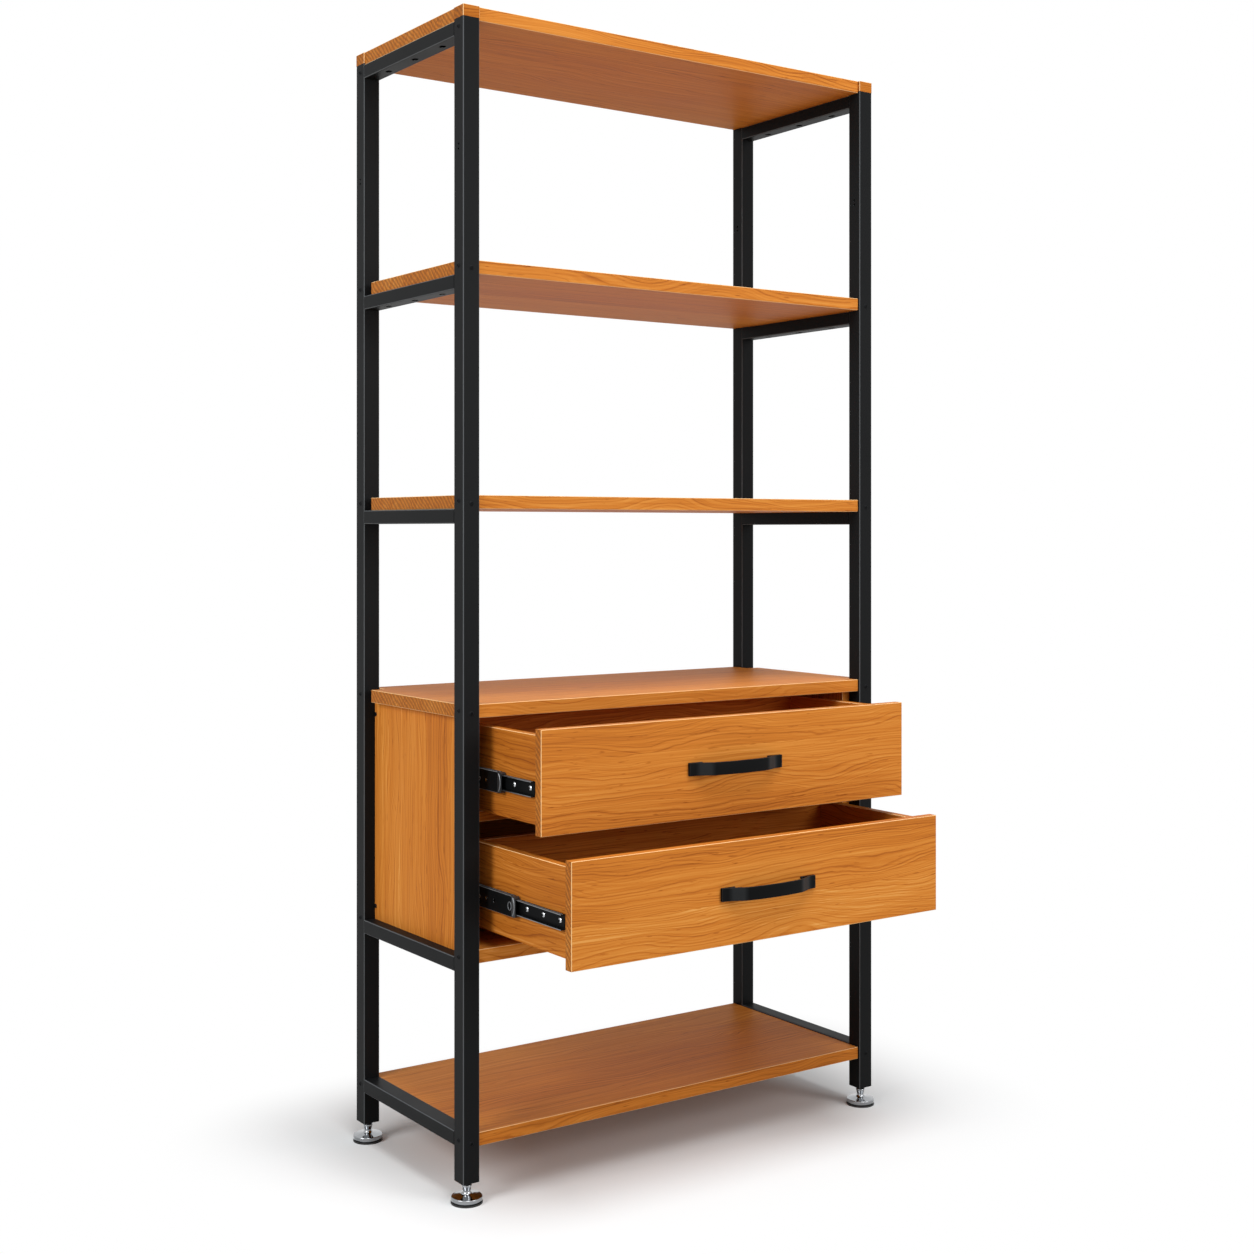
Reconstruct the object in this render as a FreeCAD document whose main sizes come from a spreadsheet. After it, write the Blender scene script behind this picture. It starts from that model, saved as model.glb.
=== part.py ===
import FreeCAD, Part
import math
import os
import Sketcher
from FreeCAD import Placement, Rotation, Vector

# Bookcase with two bottom drawers: posts and crossbars of steel tube, boards that rest on the
# bars, a drawer cabinet between the posts, two drawers on ball-bearing slides and four levelling
# feet. Millimetres. +X is right, +Y is back, +Z is up, and the origin is on the floor at the
# middle of the four feet. The drawers are drawn out by upper_out and lower_out.

doc = FreeCAD.newDocument("Bookcase")

# ------------------------------------------------------------------ driving dimensions

SIZES = [
    # steel frame
    ("frame_width", "920"),
    ("frame_depth", "400"),
    ("overall_height", "2008"),
    ("tube", "32"),
    ("tube_wall", "1.5"),
    ("tube_radius", "2.5"),
    ("bar_height", "25"),
    ("end_plate", "3"),
    ("slot_width", "10"),
    ("slot_length", "16"),
    ("bar_screws", "3"),
    ("bar_screw_pitch", "100"),
    ("spare_hole", "5"),
    ("spare_pitch", "8"),
    # undersides of the boards, and of the crossbars under the cabinet
    ("upper_shelf", "1559.5"),
    ("middle_shelf", "1165"),
    ("cabinet_top", "813.5"),
    ("cabinet_floor", "401"),
    ("cabinet_bar", "387"),
    ("bottom_shelf", "94"),
    # boards
    ("board", "23"),
    ("board_setback", "5"),
    ("top_setback", "2"),
    ("rear_relief", "20"),
    ("arris", "0.8"),
    ("fit", "0.3"),
    ("block_height", "20"),
    ("tenon", "28"),
    # cabinet
    ("panel_inset", "22"),
    ("panel", "26"),
    ("back_panel", "8"),
    ("back_screw_edge", "24"),
    ("divider", "18"),
    ("housing_depth", "6"),
    ("divider_setback", "2"),
    ("divider_play", "2"),
    # drawers
    ("front_thick", "18"),
    ("front_side_gap", "12.5"),
    ("front_end_gap", "8"),
    ("front_mid_gap", "26"),
    ("box_side", "16"),
    ("box_height", "146"),
    ("box_rise", "18"),
    ("box_bottom", "6"),
    ("groove_rise", "10"),
    ("groove_depth", "6"),
    ("upper_out", "180"),
    ("lower_out", "270"),
    # slides
    ("slide_room", "100"),
    ("slide_rise", "58"),
    ("slide_thick", "12.7"),
    ("slide_height", "45.5"),
    ("plate", "1.2"),
    ("web_gap", "0.6"),
    ("outer_ball", "2"),
    ("inner_ball", "1.75"),
    ("ball_play", "0.2"),
    ("race_depth", "0.3"),
    ("middle_flange", "1.9"),
    ("inner_flange", "1.4"),
    ("inner_lip", "2.6"),
    ("balls", "4"),
    ("ball_pitch", "26"),
    ("cage_end", "6"),
    ("cage_thick", "0.8"),
    ("cage_inset", "0.2"),
    ("recess", "12"),
    ("bumper_wall", "1.6"),
    ("bumper_round", "4"),
    ("slide_screws", "3"),
    ("slide_screw_first", "14"),
    ("slide_screw_pitch", "50"),
    ("access_hole", "7"),
    ("access_place", "56"),
    # handles
    ("handle_length", "205"),
    ("handle_height", "22.5"),
    ("strap", "3.5"),
    ("handle_pad", "13"),
    ("handle_foot", "2.5"),
    ("handle_foot_length", "30"),
    ("handle_shoulder", "42"),
    ("handle_reach", "21"),
    ("handle_bow", "4.5"),
    ("handle_bend", "36"),
    ("handle_edge", "0.8"),
    # feet
    ("foot_height", "36"),
    ("foot_base", "53"),
    ("foot_rim", "9"),
    ("foot_edge", "1.5"),
    ("foot_dish", "3"),
    ("foot_waist", "8"),
    ("foot_collar", "2"),
    ("foot_pad", "3"),
    ("pad_inset", "1"),
    ("foot_neck", "12.4"),
    ("foot_cone", "17"),
    ("boss_height", "5"),
    ("boss_width", "16"),
    ("stem_width", "8"),
    ("stem_length", "32"),
    # fasteners
    ("screw_width", "4"),
    ("screw_head", "8.5"),
    ("screw_crown", "2"),
    ("screw_bite", "16"),
    ("screw_rise", "13"),
    ("cross_rise", "8.5"),
    ("truss_head", "9.5"),
    ("truss_crown", "1.8"),
    ("slide_bite", "12"),
    ("sink", "0.9"),
    ("thread_fit", "0.05"),
]

size = doc.addObject("Spreadsheet::Sheet", "Size")
for row, (alias, text) in enumerate(SIZES, start=1):
    size.set(f"A{row}", alias)
    size.set(f"B{row}", text)
    size.setAlias(f"B{row}", alias)

# ------------------------------------------------------------------ places that follow from them

PLACES = [
    ("post_top", "Size.overall_height - Size.block_height"),
    ("post_x", "Size.frame_width / 2 - Size.tube / 2"),
    ("post_y", "Size.frame_depth / 2 - Size.tube / 2"),
    ("face_x", "Size.frame_width / 2"),
    ("face_y", "Size.frame_depth / 2"),
    ("bar_length", "Size.frame_depth - 2 * Size.tube"),
    ("bar_screw_first", "(bar_length - (Size.bar_screws - 1) * Size.bar_screw_pitch) / 2"),
    ("bar_inside", "Size.frame_width / 2 - Size.tube"),
    ("post_length", "post_top - Size.foot_height"),
    ("end_screw_length", "Size.tube + Size.fit + Size.screw_bite"),
    # boards
    ("top_shelf", "Size.overall_height - Size.board"),
    ("top_bar", "top_shelf - Size.bar_height"),
    ("upper_bar", "Size.upper_shelf - Size.bar_height"),
    ("middle_bar", "Size.middle_shelf - Size.bar_height"),
    ("spare_level", "(Size.upper_shelf + top_shelf) / 2"),
    ("shelf_x", "Size.frame_width / 2 - Size.tube - Size.fit"),
    ("side_x", "Size.frame_width / 2 - Size.board_setback"),
    ("top_x", "Size.frame_width / 2 - Size.top_setback"),
    ("shelf_y", "Size.frame_depth / 2 - Size.board_setback"),
    ("corner_y", "Size.frame_depth / 2 - Size.tube - Size.fit"),
    # cabinet
    ("panel_out", "Size.frame_width / 2 - Size.panel_inset"),
    ("panel_in", "panel_out - Size.panel"),
    ("panel_front", "-Size.frame_depth / 2 + Size.tube + Size.fit"),
    ("panel_depth", "bar_length - 2 * Size.fit"),
    ("bar_top", "Size.cabinet_bar + Size.bar_height"),
    ("floor_top", "Size.cabinet_floor + Size.board"),
    ("back_front", "corner_y - Size.back_panel"),
    ("cabinet_room", "Size.cabinet_top - floor_top"),
    ("front_height", "(cabinet_room - Size.front_mid_gap) / 2 - Size.front_end_gap"),
    ("lower_front", "floor_top + Size.front_end_gap"),
    ("upper_front", "Size.cabinet_top - Size.front_end_gap - front_height"),
    ("divider_level", "upper_front + Size.box_rise - Size.divider_play - Size.divider"),
    ("divider_front", "panel_front + Size.front_thick + Size.divider_setback"),
    ("divider_depth", "back_front - divider_front"),
    ("back_screw_y", "corner_y - Size.back_panel / 2"),
    ("back_screw_low", "bar_top + Size.back_screw_edge"),
    ("back_screw_high", "Size.cabinet_top - Size.back_screw_edge"),
    # drawers, shut
    ("front_x", "panel_in - Size.front_side_gap"),
    ("box_front", "panel_front + Size.front_thick"),
    ("box_x", "panel_in - Size.slide_thick - Size.fit"),
    ("box_inner_x", "box_x - Size.box_side"),
    ("lower_slide", "lower_front + Size.box_rise + Size.slide_rise"),
    ("upper_slide", "upper_front + Size.box_rise + Size.slide_rise"),
    ("groove_level", "Size.box_rise + Size.groove_rise"),
    ("handle_screw_x", "(Size.handle_length - Size.handle_pad) / 2"),
    ("handle_bite", "Size.handle_foot + Size.strap - Size.plate"),
    ("half_bow", "Size.handle_length / 2 - Size.handle_shoulder"),
    ("ramp_rise", "Size.handle_reach - Size.handle_foot - Size.strap"),
    ("ramp_run", "Size.handle_shoulder - Size.handle_pad"),
    ("strap_shift", "Size.strap * tan(atan(ramp_rise / ramp_run) / 2)"),
    ("bow_radius", "(half_bow ^ 2 + Size.handle_bow ^ 2) / (2 * Size.handle_bow)"),
    # slide section: the cabinet member carries the middle one, which carries the drawer member
    ("slide_length", "Size.frame_depth - Size.slide_room"),
    ("slide_front", "box_front + Size.fit"),
    ("outer_half", "Size.slide_height / 2"),
    ("outer_face", "outer_half - Size.plate"),
    ("outer_groove", "Size.outer_ball + Size.ball_play"),
    ("inner_groove", "Size.inner_ball + Size.ball_play"),
    ("ball_x", "Size.slide_thick - Size.plate - 2 * outer_groove"),
    ("outer_ball_z", "outer_face - outer_groove"),
    ("middle_web", "Size.plate + Size.web_gap"),
    ("middle_half", "outer_ball_z - Size.outer_ball + Size.race_depth"),
    ("middle_face", "middle_half - Size.middle_flange"),
    ("middle_end", "Size.slide_thick - Size.plate - Size.web_gap"),
    ("middle_length", "slide_length - 2 * Size.recess"),
    ("inner_ball_z", "middle_face - Size.inner_ball + Size.race_depth"),
    ("inner_half", "inner_ball_z - Size.inner_ball + Size.race_depth"),
    ("inner_face", "inner_half - Size.inner_flange"),
    ("inner_start", "ball_x - Size.inner_lip"),
    ("lip_end", "outer_ball_z - Size.outer_ball / 2"),
    ("outer_nick", "sqrt(outer_groove ^ 2 - (outer_ball_z - middle_half) ^ 2)"),
    ("middle_nick", "sqrt(inner_groove ^ 2 - (middle_face - inner_ball_z) ^ 2)"),
    ("inner_nick", "sqrt(inner_groove ^ 2 - (inner_ball_z - inner_half) ^ 2)"),
    ("cage_length", "(Size.balls - 1) * Size.ball_pitch + 2 * Size.cage_end"),
    ("cage_start", "slide_front + (slide_length - cage_length) / 2"),
    # feet
    ("stem_start", "Size.foot_height - Size.boss_height - Size.fit"),
    ("rim_top", "Size.foot_pad + Size.foot_rim"),
]

plan = doc.addObject("Spreadsheet::Sheet", "Plan")
for row, (alias, text) in enumerate(PLACES, start=1):
    plan.set(f"A{row}", alias)
    plan.set(f"B{row}", "=" + text)
    plan.setAlias(f"B{row}", alias)
doc.recompute()

SIDES = {"left": "-1", "right": "1"}
ENDS = {"front": "-1", "back": "1"}
CORNERS = [(end, side) for end in ENDS for side in SIDES]
BARS = {
    "top": "Plan.top_bar",
    "upper": "Plan.upper_bar",
    "middle": "Plan.middle_bar",
    "cabinet": "Size.cabinet_bar",
    "bottom": "Size.bottom_shelf",
}
CARRYING = ("top", "upper", "middle")
HELD_BY_POSTS = (
    "Size.upper_shelf",
    "Size.middle_shelf",
    "Size.cabinet_top",
    "Size.cabinet_floor",
    "Size.bottom_shelf",
)
HELD_IN_FRONT = ("Size.upper_shelf", "Size.middle_shelf", "Size.cabinet_top")
DRAWERS = {
    "upper": {"level": "Plan.upper_front", "slide": "Plan.upper_slide", "out": "Size.upper_out"},
    "lower": {"level": "Plan.lower_front", "slide": "Plan.lower_slide", "out": "Size.lower_out"},
}
SAME = 1e-5
parts = []

# ------------------------------------------------------------------ ways of working


def number(expression):
    """What an expression comes to with the sheets as they stand."""
    return float(size.evalExpression(expression))


def minus(expression):
    return "0" if expression == "0" else f"-({expression})"


def new_body(name, is_part=True):
    made = doc.addObject("PartDesign::Body", name)
    made.Label = name
    if is_part:
        parts.append(made)
    return made


def base_of(body, role):
    """One of the body's own base planes or axes, such as XY_Plane or Y_Axis."""
    return [item for item in body.Origin.OriginFeatures if item.Role == role][0]


def new_sketch(body, role, lift="0"):
    """Sketch on the body's own base plane of that role, lifted along the plane's normal."""
    sketch = body.newObject("Sketcher::SketchObject", body.Name + "_sketch")
    sketch.AttachmentSupport = (base_of(body, role), [""])
    sketch.MapMode = "FlatFace"
    if lift != "0":
        sketch.setExpression("AttachmentOffset.Base.z", lift)
    return sketch


def pin_down(sketch, geometry, end, x, y):
    """Fix a point of the sketch's geometry at x and y, given as expressions."""
    for kind, axis, expression in (("DistanceX", -2, x), ("DistanceY", -1, y)):
        if expression == "0":
            sketch.addConstraint(Sketcher.Constraint("PointOnObject", geometry, end, axis))
            continue
        made = Sketcher.Constraint(kind, -1, 1, geometry, end, number(expression))
        index = sketch.addConstraint(made)
        sketch.setExpression(f"Constraints[{index}]", expression)


def arc_between(start, end, radius, turn):
    """The short arc from start to end that turns left or right."""
    chord = end - start
    left = Vector(-chord.y, chord.x, 0).normalize()
    reach = math.sqrt(max(radius ** 2 - (chord.Length / 2) ** 2, 0))
    centre = start + chord / 2 + left * (reach if turn == "left" else -reach)
    first, last = (start, end) if turn == "left" else (end, start)
    angles = [math.atan2(point.y - centre.y, point.x - centre.x) for point in (first, last)]
    return Part.ArcOfCircle(Part.Circle(centre, Vector(0, 0, 1), radius), *angles)


def outline(sketch, corners):
    """Closed outline. A corner is (x, y), or (x, y, radius, turn) where an arc leaves it."""
    points = [Vector(number(corner[0]), number(corner[1]), 0) for corner in corners]
    ring = []
    for corner, start, end in zip(corners, points, points[1:] + points[:1]):
        if len(corner) == 2:
            ring.append((sketch.addGeometry(Part.LineSegment(start, end)), 1, 2))
            continue
        radius, turn = corner[2:]
        made = sketch.addGeometry(arc_between(start, end, number(radius), turn))
        index = sketch.addConstraint(Sketcher.Constraint("Radius", made, number(radius)))
        sketch.setExpression(f"Constraints[{index}]", radius)
        ring.append((made, 1, 2) if turn == "left" else (made, 2, 1))
    for (made, _, end), (following, start, _) in zip(ring, ring[1:] + ring[:1]):
        sketch.addConstraint(Sketcher.Constraint("Coincident", made, end, following, start))
    for (made, start, _), corner in zip(ring, corners):
        pin_down(sketch, made, start, corner[0], corner[1])


def both_sides(half):
    """Whole outline from its right half, which runs from one end of the y axis to the other."""
    arcs = [()] + [corner[2:] for corner in half[:-1]]
    left = [(minus(corner[0]), corner[1]) + arc for corner, arc in zip(half, arcs)]
    return half + left[::-1]


def above_and_below(half):
    """Whole outline from its upper half, which runs from one end of the x axis to the other."""
    arcs = [()] + [corner[2:] for corner in half[:-1]]
    below = [(corner[0], minus(corner[1])) + arc for corner, arc in zip(half, arcs)]
    return half + below[::-1]


def rectangle(sketch, x0, x1, y0, y1):
    outline(sketch, [(x0, y0), (x1, y0), (x1, y1), (x0, y1)])


def rounded_square(sketch, x, y, radius):
    """Rectangle about the origin that reaches x and y each way, with round corners."""
    outline(sketch, both_sides([
        (f"{x} - ({radius})", minus(y), radius, "left"),
        (x, f"-({y}) + {radius}"),
        (x, f"{y} - ({radius})", radius, "left"),
        (f"{x} - ({radius})", y),
    ]))


def circles(sketch, places, diameter):
    for x, y in places:
        centre = Vector(number(x), number(y), 0)
        shape = Part.Circle(centre, Vector(0, 0, 1), number(diameter) / 2)
        made = sketch.addGeometry(shape)
        pin_down(sketch, made, 3, x, y)
        index = sketch.addConstraint(Sketcher.Constraint("Diameter", made, number(diameter)))
        sketch.setExpression(f"Constraints[{index}]", diameter)


def pad(body, sketch, length, backwards=False):
    """Pad along the sketch's normal, or against it."""
    made = body.newObject("PartDesign::Pad", body.Name + "_pad")
    made.Profile = sketch
    made.Reversed = backwards
    made.setExpression("Length", length)
    doc.recompute()
    return made


def pocket(body, sketch, length="", along=False):
    """Cut against the sketch's normal, or along it; without a length, right through."""
    before = body.Shape.Volume
    made = body.newObject("PartDesign::Pocket", body.Name + "_pocket")
    made.Profile = sketch
    made.Reversed = along
    if length:
        made.setExpression("Length", length)
    else:
        made.Type = "ThroughAll"
        made.SideType = "Symmetric"
    doc.recompute()
    if body.Shape.Volume >= before:
        raise RuntimeError(f"{made.Name} cut nothing")
    return made


def drill(body, role, lift, places, diameter, depth="", along=False):
    """Round holes from a lifted base plane; without a depth, right through both ways."""
    sketch = new_sketch(body, role, lift)
    circles(sketch, places, diameter)
    return pocket(body, sketch, depth, along)


def revolve(body, corners):
    """Turn an outline in the XZ plane once round the Z axis."""
    sketch = new_sketch(body, "XZ_Plane")
    outline(sketch, corners)
    made = body.newObject("PartDesign::Revolution", body.Name + "_turned")
    made.Profile = sketch
    made.ReferenceAxis = (sketch, ["V_Axis"])
    doc.recompute()
    return made


def repeat(body, features, count, step):
    """Row of the features along the body's Y axis."""
    made = body.newObject("PartDesign::LinearPattern", body.Name + "_row")
    made.Originals = features
    made.Direction = (base_of(body, "Y_Axis"), [""])
    made.Mode = "Spacing"
    made.setExpression("Offset", step)
    made.setExpression("Occurrences", count)
    body.Tip = made
    doc.recompute()
    return made


def mirror(body, feature, role):
    """The feature once more, on the other side of a base plane."""
    made = body.newObject("PartDesign::Mirrored", body.Name + "_mirrored")
    made.Originals = [feature]
    made.MirrorPlane = (base_of(body, role), [""])
    body.Tip = made
    doc.recompute()
    return made


def dress(body, kind, value, wanted):
    """Fillet or chamfer the edges of the body's tip that wanted() picks."""
    base = body.Tip
    names = [f"Edge{i}" for i, edge in enumerate(base.Shape.Edges, start=1) if wanted(edge)]
    made = body.newObject(f"PartDesign::{kind}", f"{body.Name}_{kind.lower()}")
    made.Base = (base, names)
    made.setExpression("Radius" if kind == "Fillet" else "Size", value)
    doc.recompute()
    return made


def is_flat(edge, axis, *places):
    """Whether all of an edge lies at one of the places along the axis."""
    low, high = getattr(edge.BoundBox, axis + "Min"), getattr(edge.BoundBox, axis + "Max")
    return high - low < SAME and any(abs(low - number(at)) < SAME for at in places)


def is_upright(edge):
    return edge.BoundBox.XLength < SAME and edge.BoundBox.YLength < SAME


def is_hole_rim(edge, diameter):
    curve = edge.Curve
    return isinstance(curve, Part.Circle) and abs(2 * curve.Radius - number(diameter)) < SAME


def place(item, x, y, z, turn=Rotation()):
    item.Placement = Placement(Vector(), turn)
    for axis, expression in zip("xyz", (x, y, z)):
        item.setExpression(f"Placement.Base.{axis}", expression)


def copy_of(source, x, y, z, turn=Rotation()):
    """One more of the same piece."""
    made = doc.addObject("App::Link", source.Name + "_copy")
    made.LinkedObject = source
    place(made, x, y, z, turn)
    return made


def group(name, pieces):
    """Separate solids of one kind that share a node."""
    made = doc.addObject("Part::Compound", name)
    made.Label = name
    made.Links = pieces
    parts.append(made)
    return made


def aimed(x, y, z):
    """Turn that points a piece's +Z along the direction."""
    return Rotation(Vector(0, 0, 1), Vector(x, y, z))


AIMED_OUT = {"left": aimed(-1, 0, 0), "right": aimed(1, 0, 0)}
AIMED_IN = {"left": aimed(1, 0, 0), "right": aimed(-1, 0, 0)}
AIMED_ALONG = {"front": aimed(0, 1, 0), "back": aimed(0, -1, 0)}
HALF_TURN = {"left": Rotation(), "right": Rotation(Vector(0, 0, 1), 180)}
ROLLED_OVER = {"left": Rotation(), "right": Rotation(Vector(0, 1, 0), 180)}
SCREW_HOLE = "Size.screw_width + 2 * Size.thread_fit"

# ------------------------------------------------------------------ fasteners


def pan_head(name, width, head, crown, length):
    """Screw along +Z with the underside of its domed head at the origin."""
    body = new_body(name, is_part=False)
    dome = f"(({head}) ^ 2 / 4 + ({crown}) ^ 2) / (2 * {crown})"
    revolve(body, [
        ("0", minus(crown), dome, "left"),
        (f"{head} / 2", "0"),
        (f"{width} / 2", "0"),
        (f"{width} / 2", f"{length} - {width} / 2"),
        ("0", length),
    ])
    return body


def flat_head(name, width, sink, length):
    """Countersunk screw along +Z with the top of its head at the origin."""
    body = new_body(name, is_part=False)
    revolve(body, [
        ("0", "0"),
        (f"{width} / 2 + {sink}", "0"),
        (f"{width} / 2", sink),
        (f"{width} / 2", f"{length} - {width} / 2"),
        ("0", length),
    ])
    return body


SCREW = ("Size.screw_width", "Size.screw_head", "Size.screw_crown")
end_screw = pan_head("end_screw", *SCREW, "Plan.end_screw_length")
wall_screw = pan_head("wall_screw", *SCREW, "Size.tube_wall + Size.screw_bite")
back_screw = pan_head("back_screw", *SCREW, "Size.panel + Size.screw_bite")
handle_screw = pan_head("handle_screw", *SCREW, "Size.front_thick + Plan.handle_bite")
slide_screw = flat_head("slide_screw", "Size.screw_width", "Size.sink",
                        "Size.plate + Size.fit + Size.slide_bite")
drawer_screw = pan_head("drawer_screw", "Size.screw_width", "Size.truss_head", "Size.truss_crown",
                        "Size.plate + Size.fit + Size.slide_bite")

# ------------------------------------------------------------------ steel frame


def post(end, side):
    """Tube with a closed foot end, screw holes, and a spare pair of holes for another shelf."""
    body = new_body(f"post_{end}_{side}")
    inside = "Size.tube / 2 - Size.tube_wall"
    section = new_sketch(body, "XY_Plane")
    rounded_square(section, "Size.tube / 2", "Size.tube / 2", "Size.tube_radius")
    pad(body, section, "Plan.post_length")
    hollow = new_sketch(body, "XY_Plane", "Size.end_plate")
    rounded_square(hollow, inside, inside, "Size.tube_radius - Size.tube_wall")
    pocket(body, hollow, "Plan.post_length", along=True)
    boss = new_sketch(body, "XY_Plane")
    circles(boss, [("0", "0")], "Size.boss_width")
    pad(body, boss, "Size.boss_height", backwards=True)
    drill(body, "XY_Plane", "Size.end_plate", [("0", "0")],
          "Size.stem_width + 2 * Size.thread_fit", "Size.end_plate + Size.boss_height")
    crossing = (*HELD_IN_FRONT, BARS["bottom"]) if end == "front" else (BARS["bottom"],)
    drill(body, "XZ_Plane", "0", [("0", f"{level} + Size.cross_rise - Size.foot_height")
                                  for level in crossing], SCREW_HOLE)
    drill(body, "YZ_Plane", "0", [("0", f"{level} + Size.screw_rise - Size.foot_height")
                                  for level in HELD_BY_POSTS], SCREW_HOLE)
    drill(body, "YZ_Plane", "0", [("0", "Plan.top_bar + Size.screw_rise - Size.foot_height")],
          SCREW_HOLE, "Size.tube")
    spare = "Plan.spare_level - Size.foot_height"
    drill(body, "YZ_Plane", "0", [("0", f"{spare} - Size.spare_pitch / 2"),
                                  ("0", f"{spare} + Size.spare_pitch / 2")], "Size.spare_hole")
    place(body, f"{SIDES[side]} * Plan.post_x", f"{ENDS[end]} * Plan.post_y",
          "Size.foot_height", HALF_TURN[side])


def corner_block():
    """Wooden cap in line with the post, with a tenon down the tube that the top screw holds."""
    body = new_body("corner_block", is_part=False)
    cap, tenon = new_sketch(body, "XY_Plane"), new_sketch(body, "XY_Plane")
    reach, inner = "Size.tube / 2", "Size.tube / 2 - Size.tube_wall - Size.fit"
    rectangle(cap, minus(reach), reach, minus(reach), reach)
    pad(body, cap, "Size.block_height")
    dress(body, "Chamfer", "Size.arris",
          lambda edge: is_upright(edge) or is_flat(edge, "Z", "Size.block_height"))
    rectangle(tenon, minus(inner), inner, minus(inner), inner)
    pad(body, tenon, "Size.tenon", backwards=True)
    drill(body, "YZ_Plane", minus(inner), [("0", "Plan.top_bar + Size.screw_rise - Plan.post_top")],
          SCREW_HOLE, "Size.screw_bite + Size.fit", along=True)
    return body


def crossbar(level, side):
    """Bar from post to post, closed by end plates. The bottom one is screwed on, not welded."""
    body = new_body(f"crossbar_{level}_{side}")
    inside = "Size.tube / 2 - Size.tube_wall"
    section = new_sketch(body, "XZ_Plane")
    rounded_square(section, "Size.tube / 2", "Size.bar_height / 2", "Size.tube_radius")
    pad(body, section, "Plan.bar_length", backwards=True)
    hollow = new_sketch(body, "XZ_Plane", "-Size.end_plate")
    rounded_square(hollow, inside, "Size.bar_height / 2 - Size.tube_wall",
                   "Size.tube_radius - Size.tube_wall")
    pocket(body, hollow, "Plan.bar_length - 2 * Size.end_plate")
    if level == "bottom":
        drill(body, "XZ_Plane", "0", [("0", "Size.cross_rise - Size.bar_height / 2")], SCREW_HOLE)
    if level in CARRYING:
        slot = new_sketch(body, "XY_Plane", "-Size.bar_height / 2")
        end, half = "(Size.slot_length - Size.slot_width) / 2", "Size.slot_width / 2"
        near, far = f"Plan.bar_screw_first - {end}", f"Plan.bar_screw_first + {end}"
        outline(slot, [
            ("0", f"{near} - {half}", half, "left"),
            (half, near),
            (half, far, half, "left"),
            ("0", f"{far} + {half}", half, "left"),
            (minus(half), far),
            (minus(half), near, half, "left"),
        ])
        slots = pocket(body, slot, "Size.bar_height / 2", along=True)
        holes = drill(body, "XY_Plane", "Size.bar_height / 2", [("0", "Plan.bar_screw_first")],
                      SCREW_HOLE, "Size.bar_height / 2")
        repeat(body, [slots, holes], "Size.bar_screws", "Size.bar_screw_pitch")
    place(body, f"{SIDES[side]} * Plan.post_x", "-Plan.bar_length / 2",
          f"{BARS[level]} + Size.bar_height / 2")


for end, side in CORNERS:
    post(end, side)

block = corner_block()
group("corner_blocks", [
    copy_of(block, f"{SIDES[side]} * Plan.post_x", f"{ENDS[end]} * Plan.post_y", "Plan.post_top",
            HALF_TURN[side])
    for end, side in CORNERS
])

for level in BARS:
    for side in SIDES:
        crossbar(level, side)

group("post_screws", [
    copy_of(end_screw, f"{SIDES[side]} * Plan.post_x", f"{ENDS[end]} * Plan.face_y",
            f"{level} + Size.cross_rise", AIMED_ALONG[end])
    for end, levels in (("front", (*HELD_IN_FRONT, BARS["bottom"])), ("back", (BARS["bottom"],)))
    for side in SIDES
    for level in levels
])

# ------------------------------------------------------------------ boards


def board(name, level, corners, on_bars, by_posts):
    """Board with broken arrises, and pilot holes for the screws that hold it to bars and posts."""
    body = new_body(name)
    sketch = new_sketch(body, "XY_Plane")
    outline(sketch, corners)
    pad(body, sketch, "Size.board")
    dress(body, "Chamfer", "Size.arris", lambda edge: is_flat(edge, "Z", "0", "Size.board"))
    if by_posts:
        rows = [(f"{ENDS[end]} * Plan.post_y", "Size.screw_rise") for end in ENDS]
        pilots = drill(body, "YZ_Plane", "Plan.shelf_x", rows, SCREW_HOLE,
                       "Size.screw_bite + Size.fit")
        mirror(body, pilots, "YZ_Plane")
    if level in HELD_IN_FRONT:
        drill(body, "XZ_Plane", "Plan.corner_y", [("Plan.post_x", "Size.cross_rise"),
                                                  ("-Plan.post_x", "Size.cross_rise")],
              SCREW_HOLE, "Size.screw_bite + Size.fit")
    if on_bars:
        first = "Plan.bar_screw_first - Plan.bar_length / 2"
        pilots = drill(body, "XY_Plane", "0", [("Plan.post_x", first), ("-Plan.post_x", first)],
                       SCREW_HOLE, "Size.screw_bite + Size.fit", along=True)
        repeat(body, [pilots], "Size.bar_screws", "Size.bar_screw_pitch")
    place(body, "0", "0", level)


def winged(reach, back):
    """Board outline that reaches out between the posts from the front ones to a back place."""
    return both_sides([
        ("Plan.shelf_x", "-Plan.shelf_y"),
        ("Plan.shelf_x", "-Plan.corner_y"),
        (reach, "-Plan.corner_y"),
        (reach, back),
        ("Plan.shelf_x", back),
        ("Plan.shelf_x", "Plan.shelf_y"),
    ])


plain = both_sides([("Plan.shelf_x", "-Plan.shelf_y"), ("Plan.shelf_x", "Plan.shelf_y")])
shelf = winged("Plan.side_x", "Plan.corner_y - Size.rear_relief")
board("top_shelf", "Plan.top_shelf", winged("Plan.top_x", "Plan.corner_y"), True, False)
board("upper_shelf", "Size.upper_shelf", shelf, True, True)
board("middle_shelf", "Size.middle_shelf", shelf, True, True)
board("cabinet_top", "Size.cabinet_top", shelf, False, True)
board("cabinet_floor", "Size.cabinet_floor", plain, False, True)
board("bottom_shelf", "Size.bottom_shelf", plain, False, True)

# ------------------------------------------------------------------ cabinet


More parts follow.
